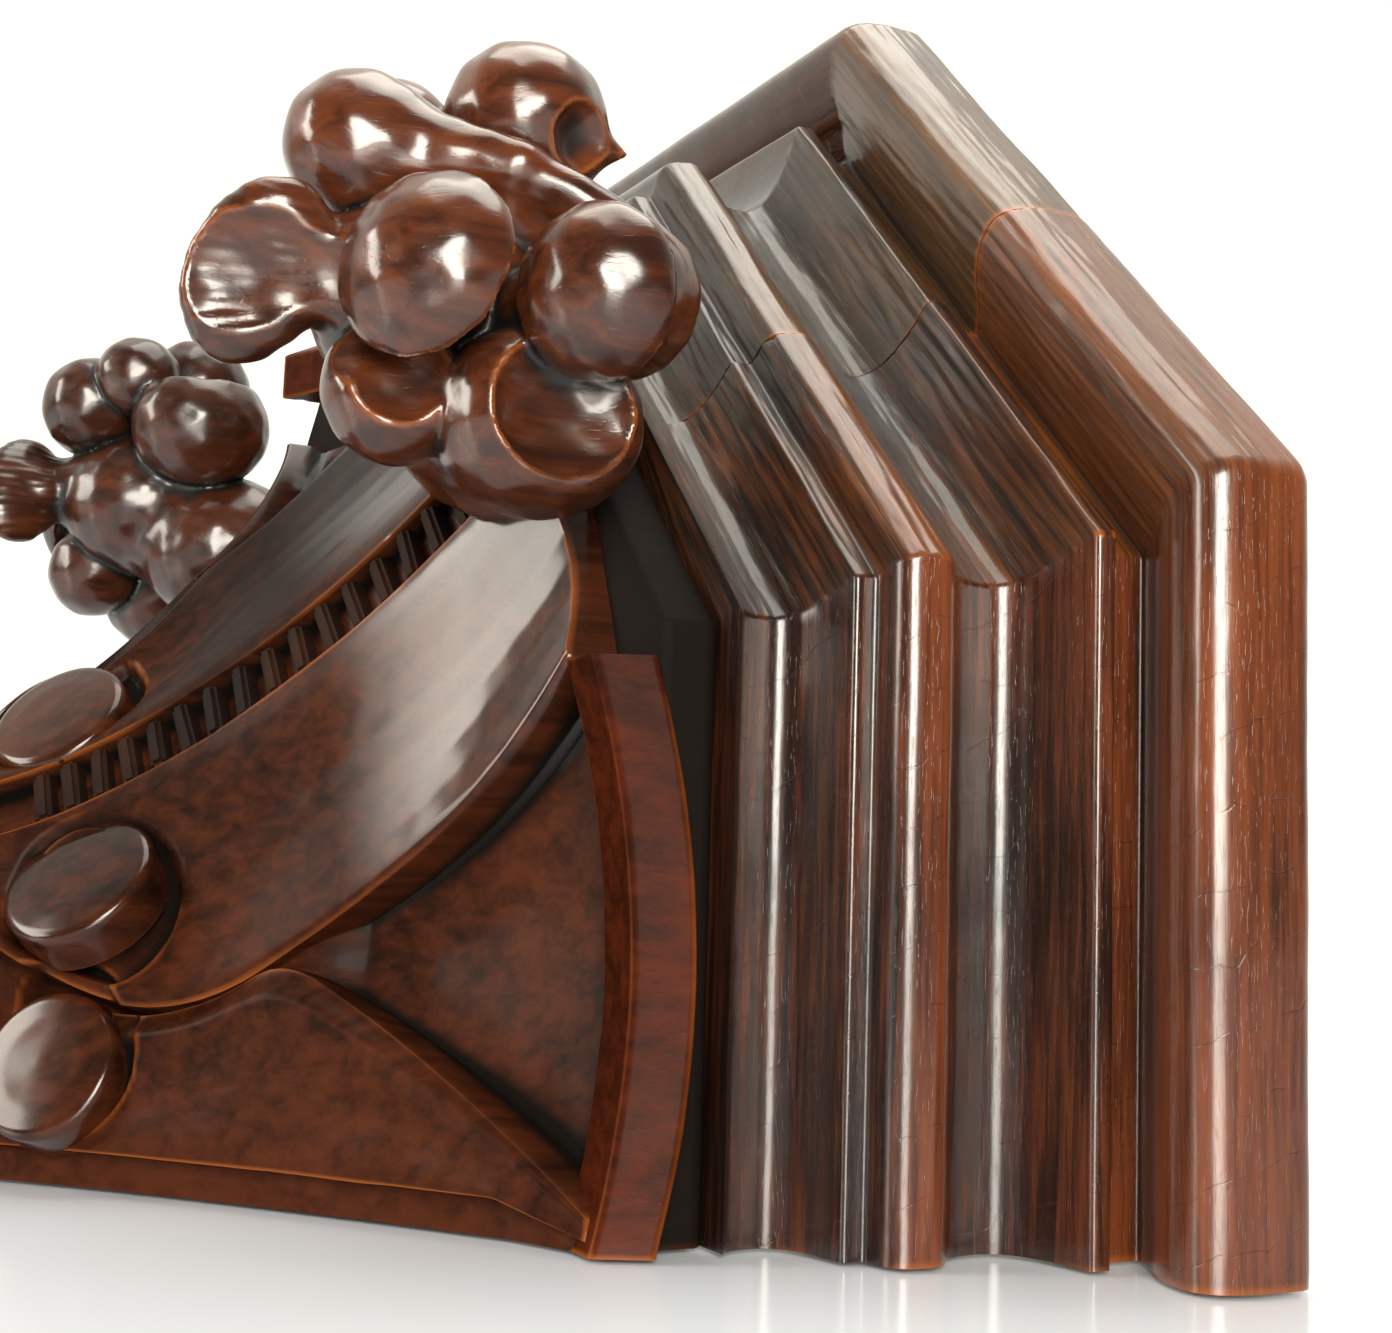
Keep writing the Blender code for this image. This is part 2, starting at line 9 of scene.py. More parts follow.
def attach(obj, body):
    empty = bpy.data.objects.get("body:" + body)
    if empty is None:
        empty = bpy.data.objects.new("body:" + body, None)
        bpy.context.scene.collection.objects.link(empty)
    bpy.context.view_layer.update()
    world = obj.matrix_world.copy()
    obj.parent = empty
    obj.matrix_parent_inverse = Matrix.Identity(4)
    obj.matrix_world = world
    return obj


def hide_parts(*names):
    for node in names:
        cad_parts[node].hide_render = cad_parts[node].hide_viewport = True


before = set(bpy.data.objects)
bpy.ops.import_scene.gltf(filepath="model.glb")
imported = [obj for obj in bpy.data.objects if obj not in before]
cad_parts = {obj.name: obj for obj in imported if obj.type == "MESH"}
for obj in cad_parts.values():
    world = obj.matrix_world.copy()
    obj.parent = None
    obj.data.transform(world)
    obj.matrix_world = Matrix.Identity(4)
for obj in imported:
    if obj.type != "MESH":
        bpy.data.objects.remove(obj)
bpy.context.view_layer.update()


# Cornice mouldings: three lengths of one section, worked by hand with planes and mitred at the
# canted corners. They are glued round the plain upper block, and the cants were cut straight
# across the finished mitres, so their wood is torn end grain.

HALF_WIDTH = 0.1500
DEPTH = 0.1805
RETURN_LENGTH = 0.0948
TOP = 0.0400
JOINT_GAP = 0.0003
CORNICE_HEIGHT = 0.0555
INNER_X = 0.0735
INNER_Y = -0.1040
CORNER_TURN = tan(radians(22.5))
BOARD_DEPTH, BOARD_ROUND, TIER_ROUND = 0.012, 0.0016, 0.0006
CANT_RUN = DEPTH - RETURN_LENGTH
OUTWARD = np.array((1.0, -1.0, 0.0)) / sqrt(2)
ACROSS = np.array((1.0, 1.0, 0.0)) / sqrt(2)
CANT_MIDDLE = np.array((HALF_WIDTH - CANT_RUN / 2, -(RETURN_LENGTH + CANT_RUN / 2), 0.0))
MITRE_SHIFT = CANT_MIDDLE[0] + CANT_MIDDLE[1]
FACE_STEP = 0.00042
SHARP = radians(50)


def bend(start, middle, end, steps=14):
    """Points of a quadratic curve, first point included."""
    t = np.linspace(0, 1, steps)[:, None]
    start, middle, end = np.array(start), np.array(middle), np.array(end)
    return (1 - t) ** 2 * start + 2 * t * (1 - t) * middle + t * t * end


def walked(line):
    """Length along a line at each of its points."""
    return np.concatenate(([0], np.cumsum(np.linalg.norm(np.diff(line, axis=0), axis=1))))


def even_steps(line, step):
    """The same open line with its points an even step apart."""
    lengths = walked(line)
    places = np.linspace(0, lengths[-1], max(2, int(round(lengths[-1] / step)) + 1))
    return np.stack([np.interp(places, lengths, line[:, k]) for k in range(line.shape[1])], 1)


def rubbed(line, rounds):
    """Wear a line's arrises a little round, with its ends kept."""
    line = line.copy()
    for _ in range(rounds):
        line[1:-1] = 0.25 * line[:-2] + 0.5 * line[1:-1] + 0.25 * line[2:]
    return line


def cornice_face():
    """Face of the moulding from the top arris down, as rows of (inset, drop)."""
    board, nose, quirk = 0.0154, 0.0075, 0.0168
    bead_top, bead_foot = (0.02782, 0.03217), (0.02908, 0.0412)
    lower_top, lower_foot = (0.0312, 0.0415), (0.0312, 0.0445)
    pieces = [
        bend((0.0030, 0), (0, 0), (0, 0.0030)),
        [(0, board - nose)],
        bend((0, board - nose), (nose * 0.08, board), (nose * 0.62, board)),
        bend((nose * 0.62, board), (0.01008, board), (quirk - 0.0008, board - nose * 0.62)),
        [(0.0208, 0.0089), (0.0208, 0.0154), (quirk, 0.0162), (quirk, 0.0190)],
        bend((quirk, 0.0190), (0.0305, 0.0200), (0.0305, 0.02558), 22),
        bend((0.0305, 0.02558), (0.0305, 0.03067), bead_top, 18),
        bend(bead_top, (0.0245, 0.03448), (0.0253, 0.0370)),
        bend((0.0253, 0.0370), (0.0253, 0.0412), bead_foot),
        [lower_top, lower_foot],
        bend(lower_foot, (0.0425, 0.0457), (0.0425, 0.0500), 20),
        bend((0.0425, 0.0500), (0.0425, 0.0543), (0.0405, CORNICE_HEIGHT), 16),
    ]
    line = np.concatenate([np.array(piece, float) for piece in pieces])
    return rubbed(even_steps(line, FACE_STEP), 2)


def plan(x, y, inset):
    """Points in plan, one for every inset of the face."""
    return np.stack(np.broadcast_arrays(x, y, np.zeros_like(inset)), -1)


def turned_corner(before, corner, after, worn):
    """Round a plan corner over a worn length; each argument holds a point for every inset."""
    back = before - corner
    on = after - corner
    start = corner + worn[:, None] * back / np.linalg.norm(back, axis=1, keepdims=True)
    end = corner + worn[:, None] * on / np.linalg.norm(on, axis=1, keepdims=True)
    steps = np.linspace(0, 1, TURN_STEPS)[:, None, None]
    return (1 - steps) ** 2 * start + 2 * steps * (1 - steps) * corner + steps ** 2 * end


def straight(start, end, count):
    steps = np.linspace(0, 1, count)[:, None, None]
    return start + steps * (end - start)


# steps along a return, round a worn corner, along half a cant and along half the front
RETURN_STEPS, TURN_STEPS, CANT_STEPS, FRONT_STEPS = 92, 8, 56, 64


def stations(inset, kind, half_gap):
    """Plan positions along a moulding, one row of points for every station, and its cant mask."""
    worn = np.where(inset < BOARD_DEPTH, BOARD_ROUND, TIER_ROUND)
    mitre = CANT_MIDDLE - OUTWARD * inset[:, None]
    if kind == "return":
        start = plan(HALF_WIDTH - inset, 0.0 * inset, inset)
        corner = plan(HALF_WIDTH - inset, -(RETURN_LENGTH - inset * CORNER_TURN), inset)
        end = mitre + ACROSS * half_gap
        steps, cant = (RETURN_STEPS, CANT_STEPS), (0.0, 1.0)
    else:
        start = mitre - ACROSS * half_gap
        corner = plan(HALF_WIDTH - CANT_RUN - inset * CORNER_TURN, -(DEPTH - inset), inset)
        end = plan(0.0 * inset, -(DEPTH - inset), inset)
        steps, cant = (CANT_STEPS, FRONT_STEPS), (1.0, 0.0)
    turned = turned_corner(start, corner, end, worn)
    rows = np.concatenate([straight(start, turned[0], steps[0]), turned[1:],
                           straight(turned[-1], end, steps[1])[1:]])
    mask = np.concatenate([np.full(steps[0], cant[0]), np.linspace(*cant, TURN_STEPS)[1:],
                           np.full(steps[1] - 1, cant[1])])
    if kind == "front":
        other = rows[::-1][1:] * (-1, 1, 1)
        rows, mask = np.concatenate([rows, other]), np.concatenate([mask, mask[::-1][1:]])
    return rows, mask


def add_mark(mesh, name, values):
    """Keep one number for every point, which the finishes and the hand work read."""
    layer = mesh.attributes.new(name, "FLOAT", "POINT")
    layer.data.foreach_set("value", np.asarray(values, np.float32))


def new_piece(name, points, faces, marks=None):
    """A mesh object at the origin, smooth with its real arrises sharp, and its attributes."""
    mesh = bpy.data.meshes.new(name)
    mesh.from_pydata(np.asarray(points).tolist(), [], faces)
    for mark, values in (marks or {}).items():
        add_mark(mesh, mark, values)
    mesh.validate()
    bm = bmesh.new()
    bm.from_mesh(mesh)
    bmesh.ops.recalc_face_normals(bm, faces=bm.faces)
    bm.to_mesh(mesh)
    bm.free()
    mesh.shade_smooth()
    mesh.set_sharp_from_angle(angle=SHARP)
    piece = bpy.data.objects.new(name, mesh)
    bpy.context.scene.collection.objects.link(piece)
    return piece


def swept(name, rows, marks=None):
    """A piece skinned over closed rows of points, with both end rows closed by one face each."""
    count, columns = rows.shape[:2]
    faces = []
    for a in range(0, (count - 1) * columns, columns):
        b = a + columns
        faces += [(a + i, a + (i + 1) % columns, b + (i + 1) % columns, b + i)
                  for i in range(columns)]
    faces.append(tuple(range(columns)))
    faces.append(tuple(range((count - 1) * columns, count * columns)))
    return new_piece(name, rows.reshape(-1, 3), faces, marks)


# the column of a moulding's face along which its run is measured, on the board's nose
BOARD_COLUMN = 60
# how light the moulding is tinted at each drop below the top: board and bead lightest, quirk and
# coves darkest
BAND_TONES = ((0, 0.85), (0.0150, 0.80), (0.0158, 0.3), (0.0190, 0.4), (0.0210, 0.10),
              (0.0300, 0.15), (0.0318, 0.6), (0.0345, 1.0), (0.0385, 0.7), (0.0410, 0.2),
              (0.0450, 0.15), (0.0555, 0.2))


def moulding(name, kind, mirror, settle):
    """One length of the cornice; settle moves its face in and down, as hand fitting does."""
    face = cornice_face() + np.array(settle)
    rows, cant = stations(face[:, 0], kind, JOINT_GAP / 2)
    rows[..., 2] = TOP - face[:, 1]
    if kind == "return":
        turn = -(RETURN_LENGTH - (HALF_WIDTH - INNER_X) * CORNER_TURN)
        ys = np.interp(np.arange(len(rows)), (0, RETURN_STEPS, len(rows) - 1),
                       (0, turn, MITRE_SHIFT - INNER_X))
        xs = np.full(len(rows), INNER_X)
    else:
        edge = MITRE_SHIFT - INNER_Y
        xs = np.interp(np.arange(len(rows)), (0, len(rows) - 1), (edge, -edge))
        ys = np.full(len(rows), INNER_Y)
    inner = np.stack([np.stack([xs, ys, np.full(len(rows), TOP - CORNICE_HEIGHT)], 1),
                      np.stack([xs, ys, np.full(len(rows), TOP)], 1)], 1)
    ring = np.concatenate([rows, inner], 1)
    count = ring.shape[1]
    run = walked(rows[:, BOARD_COLUMN])
    across = walked(face)
    across = np.concatenate((across, (across[-1] + 0.03, across[-1] + 0.1)))
    drops = np.concatenate((face[:, 1], (CORNICE_HEIGHT, 0.0)))
    if mirror:
        ring = ring * (-1, 1, 1)
    marks = {
        "along": np.repeat(run, count),
        "across": np.tile(across, len(rows)),
        "cant": np.repeat(cant, count),
        "band": np.tile(np.interp(drops, *zip(*BAND_TONES)), len(rows)),
    }
    return swept(name, ring, marks)


def sum_near(values, ends, others):
    """Sum of the values at the points that each point is joined to."""
    return np.stack([np.bincount(ends, values[others, k], len(values))
                     for k in range(values.shape[1])], 1)


# bend (1/m) at which polish begins to wear and is gone; size of a hollow darkened with dirt and
# painted shade
WORN_FROM, WORN_TO = 100, 400
HOLLOW_REACH, HOLLOW_DEEP, NEAR_WALL = 0.0035, 0.0010, 0.0005


def mark_age_and_shade(piece, added_dirt_and_shade=0.0):
    """Attributes for wear on tight outward bends and for dirt and painted shade in hollows, by
    curvature.
    """
    mesh = piece.data
    count = len(mesh.vertices)
    points, normals = np.zeros(count * 3), np.zeros(count * 3)
    mesh.vertices.foreach_get("co", points)
    mesh.vertex_normals.foreach_get("vector", normals)
    points, normals = points.reshape(-1, 3), normals.reshape(-1, 3)
    edges = np.zeros(len(mesh.edges) * 2, np.int64)
    mesh.edges.foreach_get("vertices", edges)
    ends = np.concatenate((edges[0::2], edges[1::2]))
    others = np.concatenate((edges[1::2], edges[0::2]))
    share = np.maximum(np.bincount(ends, minlength=count), 1)[:, None]
    reach = np.linalg.norm(points[ends] - points[others], axis=1)
    step = np.bincount(ends, reach, count)[:, None] / share

    def eased(values, rounds, hold=0.4):
        for _ in range(rounds):
            near = sum_near(values, ends, others)
            values = hold * values + (1 - hold) * near / share
        return values

    bend_of = ((points - eased(points, 1, 0.0)) * normals).sum(1)[:, None] / step ** 2
    worn = eased(np.clip((bend_of - WORN_FROM) / (WORN_TO - WORN_FROM), 0, 1), 1)
    rounds = int(np.clip((HOLLOW_REACH / np.median(step)) ** 2, 6, 60))
    # hollows: dirt, and painted shade where shade falls in them; the extra amount darkens a whole
    # piece
    deep = ((eased(points, rounds) - points) * normals).sum(1)[:, None]
    deep = eased(np.clip(deep / HOLLOW_DEEP, 0, 1), 3) + added_dirt_and_shade
    deep[points[:, 1] > -NEAR_WALL] = 0
    add_mark(mesh, "worn", worn[:, 0])
    add_mark(mesh, "deep", deep[:, 0])


def wire(tree, kind, settings=None, **inputs):
    """Add a node; inputs are given by name with spaces as _, or as in0, in1 by place."""
    made = tree.nodes.new(kind)
    for key, value in (settings or {}).items():
        setattr(made, key, value)
    for key, value in inputs.items():
        by_place = key[:2] == "in" and key[2:].isdigit()
        socket = made.inputs[int(key[2:])] if by_place else made.inputs[key.replace("_", " ")]
        if isinstance(value, bpy.types.NodeSocket):
            tree.links.new(value, socket)
        else:
            socket.default_value = value
    return made


def worked(tree, operation, *values):
    """The result of one sum on sockets or plain numbers."""
    made = wire(tree, "ShaderNodeMath", {"operation": operation},
                **{f"in{i}": value for i, value in enumerate(values)})
    return made.outputs[0]


def plus(tree, *values):
    return worked(tree, "ADD", *values)


def less(tree, *values):
    return worked(tree, "SUBTRACT", *values)


def times(tree, *values):
    return worked(tree, "MULTIPLY", *values)


def noise(tree, where, scale, detail, settings=None, **inputs):
    return wire(tree, "ShaderNodeTexNoise", settings, Vector=where, Scale=scale, Detail=detail,
                **inputs).outputs[0]


def spread(tree, value, low, high, kind="SMOOTHSTEP", **limits):
    """Spread a value over 0 to 1, or other limits, between a low and a high one."""
    return wire(tree, "ShaderNodeMapRange", {"interpolation_type": kind}, Value=value,
                From_Min=low, From_Max=high, **limits).outputs[0]


def new_group(name, kind, inputs, outputs):
    """A node tree with named inputs, their kinds and first values, and named outputs."""
    tree = bpy.data.node_groups.new(name, kind)
    for label, socket, value in inputs:
        made = tree.interface.new_socket(label, in_out="INPUT", socket_type="NodeSocket" + socket)
        if value is not None:
            made.default_value = value
    for label, socket in outputs:
        tree.interface.new_socket(label, in_out="OUTPUT", socket_type="NodeSocket" + socket)
    return tree, tree.nodes.new("NodeGroupInput").outputs, tree.nodes.new("NodeGroupOutput").inputs


def finish_tree(tree, shape, finish, result):
    """Make the shape real, give it its finish and pass it out."""
    real = wire(tree, "GeometryNodeRealizeInstances", Geometry=shape).outputs[0]
    done = wire(tree, "GeometryNodeSetMaterial", Geometry=real, Material=finish).outputs[0]
    tree.links.new(done, result)


def hand_work():
    """Geometry Nodes: plane waves, torn fibres on the cants and small bruises on a piece."""
    tree, given, result = new_group(
        "hand_work", "GeometryNodeTree",
        (("Piece", "Geometry", None), ("Waviness", "Float", 0.00012), ("Tearing", "Float", 0.00025),
         ("Bruises", "Float", 0.0003), ("Seed", "Float", 3.0), ("Finish", "Material", None)),
        (("Piece", "Geometry"),))

    def mark(name):
        return wire(tree, "GeometryNodeInputNamedAttribute", {"data_type": "FLOAT"},
                    Name=name).outputs["Attribute"]

    def seeded(where, scale, detail):
        return noise(tree, where, scale, detail, {"noise_dimensions": "4D"}, W=given["Seed"])

    place = tree.nodes.new("GeometryNodeInputPosition").outputs[0]
    waves = times(tree, less(tree, seeded(place, 60.0, 2.0), 0.5), given["Waviness"])
    fibre = wire(tree, "ShaderNodeCombineXYZ", in0=times(tree, mark("along"), 45.0),
                 in1=times(tree, mark("across"), 900.0)).outputs[0]
    torn = times(tree, less(tree, seeded(fibre, 1.0, 3.0), 0.5), given["Tearing"])
    torn = times(tree, torn, mark("cant"))
    knocks = worked(tree, "MAXIMUM", less(tree, seeded(place, 230.0, 1.0), 0.62), 0.0)
    knocks = times(tree, times(tree, knocks, mark("worn")), -10.0)
    knocks = times(tree, knocks, given["Bruises"])
    height = plus(tree, plus(tree, waves, torn), knocks)
    depth = wire(tree, "ShaderNodeSeparateXYZ", in0=place).outputs[1]
    clear_of_wall = spread(tree, depth, -0.0002, -0.0015, "LINEAR")
    height = times(tree, height, clear_of_wall)
    normal = tree.nodes.new("GeometryNodeInputNormal").outputs[0]
    offset = wire(tree, "ShaderNodeVectorMath", {"operation": "SCALE"}, in0=normal, Scale=height)
    moved = wire(tree, "GeometryNodeSetPosition", Geometry=given["Piece"],
                 Offset=offset.outputs[0]).outputs[0]
    finish_tree(tree, moved, given["Finish"], result[0])
    return tree


HAND_WORK = hand_work()


def work_over(piece, tree, **values):
    """Run a tree on a piece with its inputs set, and keep the result as a plain mesh."""
    modifier = piece.modifiers.new("work", "NODES")
    modifier.node_group = tree
    for item in tree.interface.items_tree:
        if item.in_out == "INPUT" and item.name in values:
            modifier[item.identifier] = values[item.name]
    bpy.context.view_layer.update()
    evaluated = piece.evaluated_get(bpy.context.evaluated_depsgraph_get())
    mesh = bpy.data.meshes.new_from_object(evaluated)
    piece.modifiers.clear()
    piece.data = mesh


def fibre_group():
    """Shader group: dark and light fibre streaks and open pores along the first axis."""
    tree, given, result = new_group(
        "fibre", "ShaderNodeTree", (("Place", "Vector", None), ("Fineness", "Float", 1.0)),
        (("Streak", "Float"), ("Pores", "Float"), ("Clouds", "Float")))
    place = wire(tree, "ShaderNodeVectorMath", {"operation": "SCALE"}, in0=given["Place"],
                 Scale=given["Fineness"]).outputs[0]

    def stretched(along, across):
        return wire(tree, "ShaderNodeMapping", {"vector_type": "POINT"}, Vector=place,
                    Scale=(along, across, across)).outputs[0]

    streak = noise(tree, stretched(40.0, 900.0), 1.0, 5.0, Roughness=0.6, Distortion=0.4)
    pores = spread(tree, noise(tree, stretched(330.0, 3300.0), 1.0, 1.0), 0.60, 0.70)
    clouds = noise(tree, stretched(16.0, 48.0), 1.0, 3.0)
    for socket, value in zip(result, (streak, pores, clouds)):
        tree.links.new(value, socket)
    return tree


def blend(tree, share, first, second):
    """A colour between two others."""
    return wire(tree, "ShaderNodeMix", {"data_type": "RGBA"}, in0=share, in6=first,
                in7=second).outputs[2]


def polish_group():
    """Shader group: stain and polish by age, with painted shade. Orange on worn arrises, near black
    in hollows for dirt and painted shade.
    """
    tree, given, result = new_group(
        "aged_polish_and_painted_shade", "ShaderNodeTree",
        (("Body", "Color", (0.010, 0.0020, 0.0016, 1)),
         ("Light", "Color", (0.055, 0.0095, 0.0038, 1)),
         ("Bare", "Color", (0.19, 0.050, 0.010, 1)),
         ("DirtAndShadeColour", "Color", (0.0030, 0.0020, 0.0015, 1)), ("Streak", "Float", 0.5),
         ("Clouds", "Float", 0.5), ("Worn", "Float", 0.0), ("Deep", "Float", 0.0),
         ("Gloss Roughness", "Float", 0.2), ("Wear", "Float", 1.0)),
        (("Colour", "Color"), ("Roughness", "Float")))
    tone = plus(tree, times(tree, given["Streak"], 0.55), times(tree, given["Clouds"], 0.75))
    colour = blend(tree, spread(tree, tone, 0.47, 0.86), given["Body"], given["Light"])
    worn = times(tree, given["Worn"], given["Wear"])
    worn = times(tree, worn, spread(tree, given["Clouds"], 0.30, 0.58))
    colour = blend(tree, spread(tree, worn, 0.12, 0.75, "LINEAR"), colour, given["Bare"])
    # hollows turn near black: dirt, and painted shade where shade falls
    deep = spread(tree, given["Deep"], 0.06, 0.60)
    colour = blend(tree, deep, colour, given["DirtAndShadeColour"])
    rough = plus(tree, given["Gloss Roughness"], times(tree, given["Streak"], 0.10))
    rough = plus(tree, rough, times(tree, deep, 0.30))
    tree.links.new(colour, result[0])
    tree.links.new(rough, result[1])
    return tree


FIBRE = fibre_group()
POLISH = polish_group()


def attribute(tree, name):
    return wire(tree, "ShaderNodeAttribute", {"attribute_name": name}).outputs["Fac"]


def polished(name, coat, coat_roughness, gloss):
    """A new material whose last shader is a French polished wood; the rest is wired on."""
    material = bpy.data.materials.new(name)
    material.use_nodes = True
    shader = material.node_tree.nodes["Principled BSDF"]
    for socket, value in (("IOR", 1.42), ("Specular IOR Level", gloss), ("Coat Weight", coat),
                          ("Coat Roughness", coat_roughness), ("Coat IOR", 1.52)):
        shader.inputs[socket].default_value = value
    return material, material.node_tree, shader


def aged_and_shaded_wood(tree, shader, place, fineness, clouds_of, colours, roughness):
    """Wire the fibre and the aged polish, with its painted shade in hollows, to a shader, and give
    both groups' outputs.
    """
    fibre = wire(tree, "ShaderNodeGroup", {"node_tree": FIBRE}, Place=place,
                 Fineness=fineness).outputs
    polish = wire(tree, "ShaderNodeGroup", {"node_tree": POLISH}, Body=colours[0],
                  Light=colours[1], Streak=fibre["Streak"], Clouds=clouds_of(fibre["Clouds"]),
                  Worn=attribute(tree, "worn"), Deep=attribute(tree, "deep"),
                  Gloss_Roughness=roughness).outputs
    tree.links.new(polish["Colour"], shader.inputs["Base Color"])
    return fibre, polish["Colour"], polish["Roughness"]


def bumped(tree, shader, height, strength, distance):
    """Fine relief, in metres, on a shader's surface."""
    bump = wire(tree, "ShaderNodeBump", Height=height, Strength=strength, Distance=distance)
    tree.links.new(bump.outputs[0], shader.inputs["Normal"])


def crazing(tree, place, along, across):
    """Thin broken lines that cross the moulding aslant, a few millimetres apart."""
    slant = times(tree, less(tree, noise(tree, place, 120.0, 2.0), 0.5), 0.007)
    drift = plus(tree, along, plus(tree, times(tree, across, 0.30), slant))
    rings = worked(tree, "PINGPONG", times(tree, drift, 250.0), 1.0)
    broken = spread(tree, noise(tree, place, 330.0, 2.0), 0.42, 0.56)
    return times(tree, spread(tree, rings, 0.04, 0.008), broken)


def moulding_finish(name, body, light, cant_body, cant_light):
    """French polish over fibres that run along the moulding, torn and duller on the cants."""
    material, tree, shader = polished(name, coat=0.55, coat_roughness=0.19, gloss=0.42)
    along, across, cant = (attribute(tree, mark) for mark in ("along", "across", "cant"))
    place = wire(tree, "ShaderNodeCombineXYZ", in0=along, in1=across).outputs[0]
    craze = times(tree, crazing(tree, place, along, across), less(tree, 1.0, cant))
    craze = times(tree, craze, 0.55)

    def banded(clouds):
        return plus(tree, times(tree, clouds, 0.62), times(tree, attribute(tree, "band"), 0.34))

    colours = blend(tree, cant, body, cant_body), blend(tree, cant, light, cant_light)
    fibre, colour, rough = aged_and_shaded_wood(tree, shader, place, 1.0, banded, colours, 0.20)
    colour = blend(tree, times(tree, craze, 0.60), colour, (0.004, 0.002, 0.002, 1))
    tree.links.new(colour, shader.inputs["Base Color"])
    rough = plus(tree, rough, times(tree, cant, 0.14))
    tree.links.new(rough, shader.inputs["Roughness"])
    height = times(tree, fibre["Streak"], plus(tree, 0.35, cant))
    height = less(tree, height, times(tree, fibre["Pores"], 0.25))
    height = less(tree, height, times(tree, craze, 0.6))
    bumped(tree, shader, height, 0.55, 0.00022)
    return material


# dark and light of the fibre, on the lengths and then on the cants
RETURN_FINISH = moulding_finish("return_moulding_polish", (0.0095, 0.0034, 0.0025, 1),
                                (0.125, 0.031, 0.0095, 1), (0.007, 0.0025, 0.0013, 1),
                                (0.14, 0.040, 0.0085, 1))
FRONT_FINISH = moulding_finish("front_moulding_polish", (0.009, 0.0032, 0.0018, 1),
                               (0.052, 0.015, 0.0052, 1), (0.009, 0.0038, 0.0016, 1),
                               (0.090, 0.036, 0.0090, 1))
for name, node, kind, mirror, settle, finish, seed in (
        ("right_return_moulding", "right_moulding", "return", False, (0, 0), RETURN_FINISH, 2.0),
        ("left_return_moulding", "left_moulding", "return", True, (0, 0), RETURN_FINISH, 5.0),
        ("front_cornice_moulding", "front_moulding", "front", False, (0.0002, 0.0001),
         FRONT_FINISH, 8.0)):
    piece = moulding(name, kind, mirror, settle)
    mark_age_and_shade(piece)
    work_over(piece, HAND_WORK, Waviness=0.00045, Tearing=0.0009, Bruises=0.0006, Seed=seed,
              Finish=finish)
    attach(piece, "root")
    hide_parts(node)


# Upper block and neck: one plain block behind the mouldings and the octagonal neck under them,
# in one with the carved corbel. Only its top, its back and the neck, darkened with painted shade,
# ever show.

NECK_INSET = 0.0450
NECK_FOOT = 0.0640
BLOCK_HALF = INNER_X - JOINT_GAP
BLOCK_DEPTH = -INNER_Y - JOINT_GAP
BLOCK_ARRIS, BLOCK_BELOW = 0.0006, 0.004


def carved_finish(name, body, light, roughness, coat, gloss):
    """French polish on carved wood; the dull attribute marks where it was never burnished."""
    material, tree, shader = polished(name, coat, coat_roughness=0.15, gloss=gloss)
    dull = attribute(tree, "dull")
    tree.links.new(times(tree, less(tree, 1.0, dull), coat), shader.inputs["Coat Weight"])
    where = tree.nodes.new("ShaderNodeTexCoord").outputs["Object"]
    upright = wire(tree, "ShaderNodeMapping", {"vector_type": "POINT"}, Vector=where,
                   Rotation=(0.0, pi / 2, 0.0)).outputs[0]
    fibre, _, rough = aged_and_shaded_wood(tree, shader, upright, 0.4, lambda clouds: clouds, (body, light),
                                roughness)
    tree.links.new(plus(tree, rough, times(tree, dull, 0.18)), shader.inputs["Roughness"])
    height = plus(tree, times(tree, fibre["Streak"], 0.25),
                  times(tree, noise(tree, where, 420.0, 3.0), 0.35))
    height = less(tree, height, times(tree, fibre["Pores"], 0.10))
    bumped(tree, shader, height, 0.5, 0.00025)
    return material


# each finish gives the dark of the fibre, then its light
# the carved finish on the bosses is lighter than the bell's: painted light, for the light that
# falls on the bosses
CARVED_FINISH = carved_finish("carved_polish", (0.014, 0.0042, 0.0024, 1),
                              (0.095, 0.0230, 0.0070, 1), roughness=0.19, coat=0.40, gloss=0.5)
BELL_FINISH = carved_finish("bell_polish", (0.008, 0.0028, 0.0016, 1),
                            (0.052, 0.0125, 0.0044, 1), roughness=0.22, coat=0.65, gloss=0.05)
STRIP_FINISH = carved_finish("strip_polish", (0.015, 0.0034, 0.0014, 1),
                             (0.066, 0.0110, 0.0030, 1), roughness=0.28, coat=0.02, gloss=0.03)
# the dull finish's colours are darker; on the neck this is painted shade under the cornice, on the
# dentils it only darkens them
DULL_FINISH = carved_finish("dull_polish", (0.008, 0.0028, 0.0016, 1),
                            (0.028, 0.0080, 0.0036, 1), roughness=0.42, coat=0.0, gloss=0.12)


def add_carved(piece, waviness=0.0004, seed=1.0, finish=CARVED_FINISH, added_dirt_and_shade=0.0):
    """The last steps every part of the corbel shares: age and painted shade, tool marks, polish,
    and its place.
    """
    mark_age_and_shade(piece, added_dirt_and_shade)
    work_over(piece, HAND_WORK, Waviness=waviness, Tearing=0.0, Bruises=0.0002, Seed=seed,
              Finish=finish)
    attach(piece, "root")
    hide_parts("carved_corbel")


def block_rows():
    """Rings down the plain block, with the arris of its top eased."""
    rows = []
    for inset, drop in ((BLOCK_ARRIS, 0.0), (0, BLOCK_ARRIS), (0, 0.03),
                        (0, CORNICE_HEIGHT + BLOCK_BELOW)):
        x, y = BLOCK_HALF - inset, -(BLOCK_DEPTH - inset)
        corners = [(x, 0), (x, y), (-x, y), (-x, 0)]
        ring = np.concatenate([straight(np.array([a]), np.array([b]), 31)[:-1, 0]
                               for a, b in zip(corners, corners[1:] + corners[:1])])
        rows.append(np.column_stack((ring, np.full(len(ring), TOP - drop))))
    return np.array(rows)


add_carved(swept("upper_block", block_rows()))

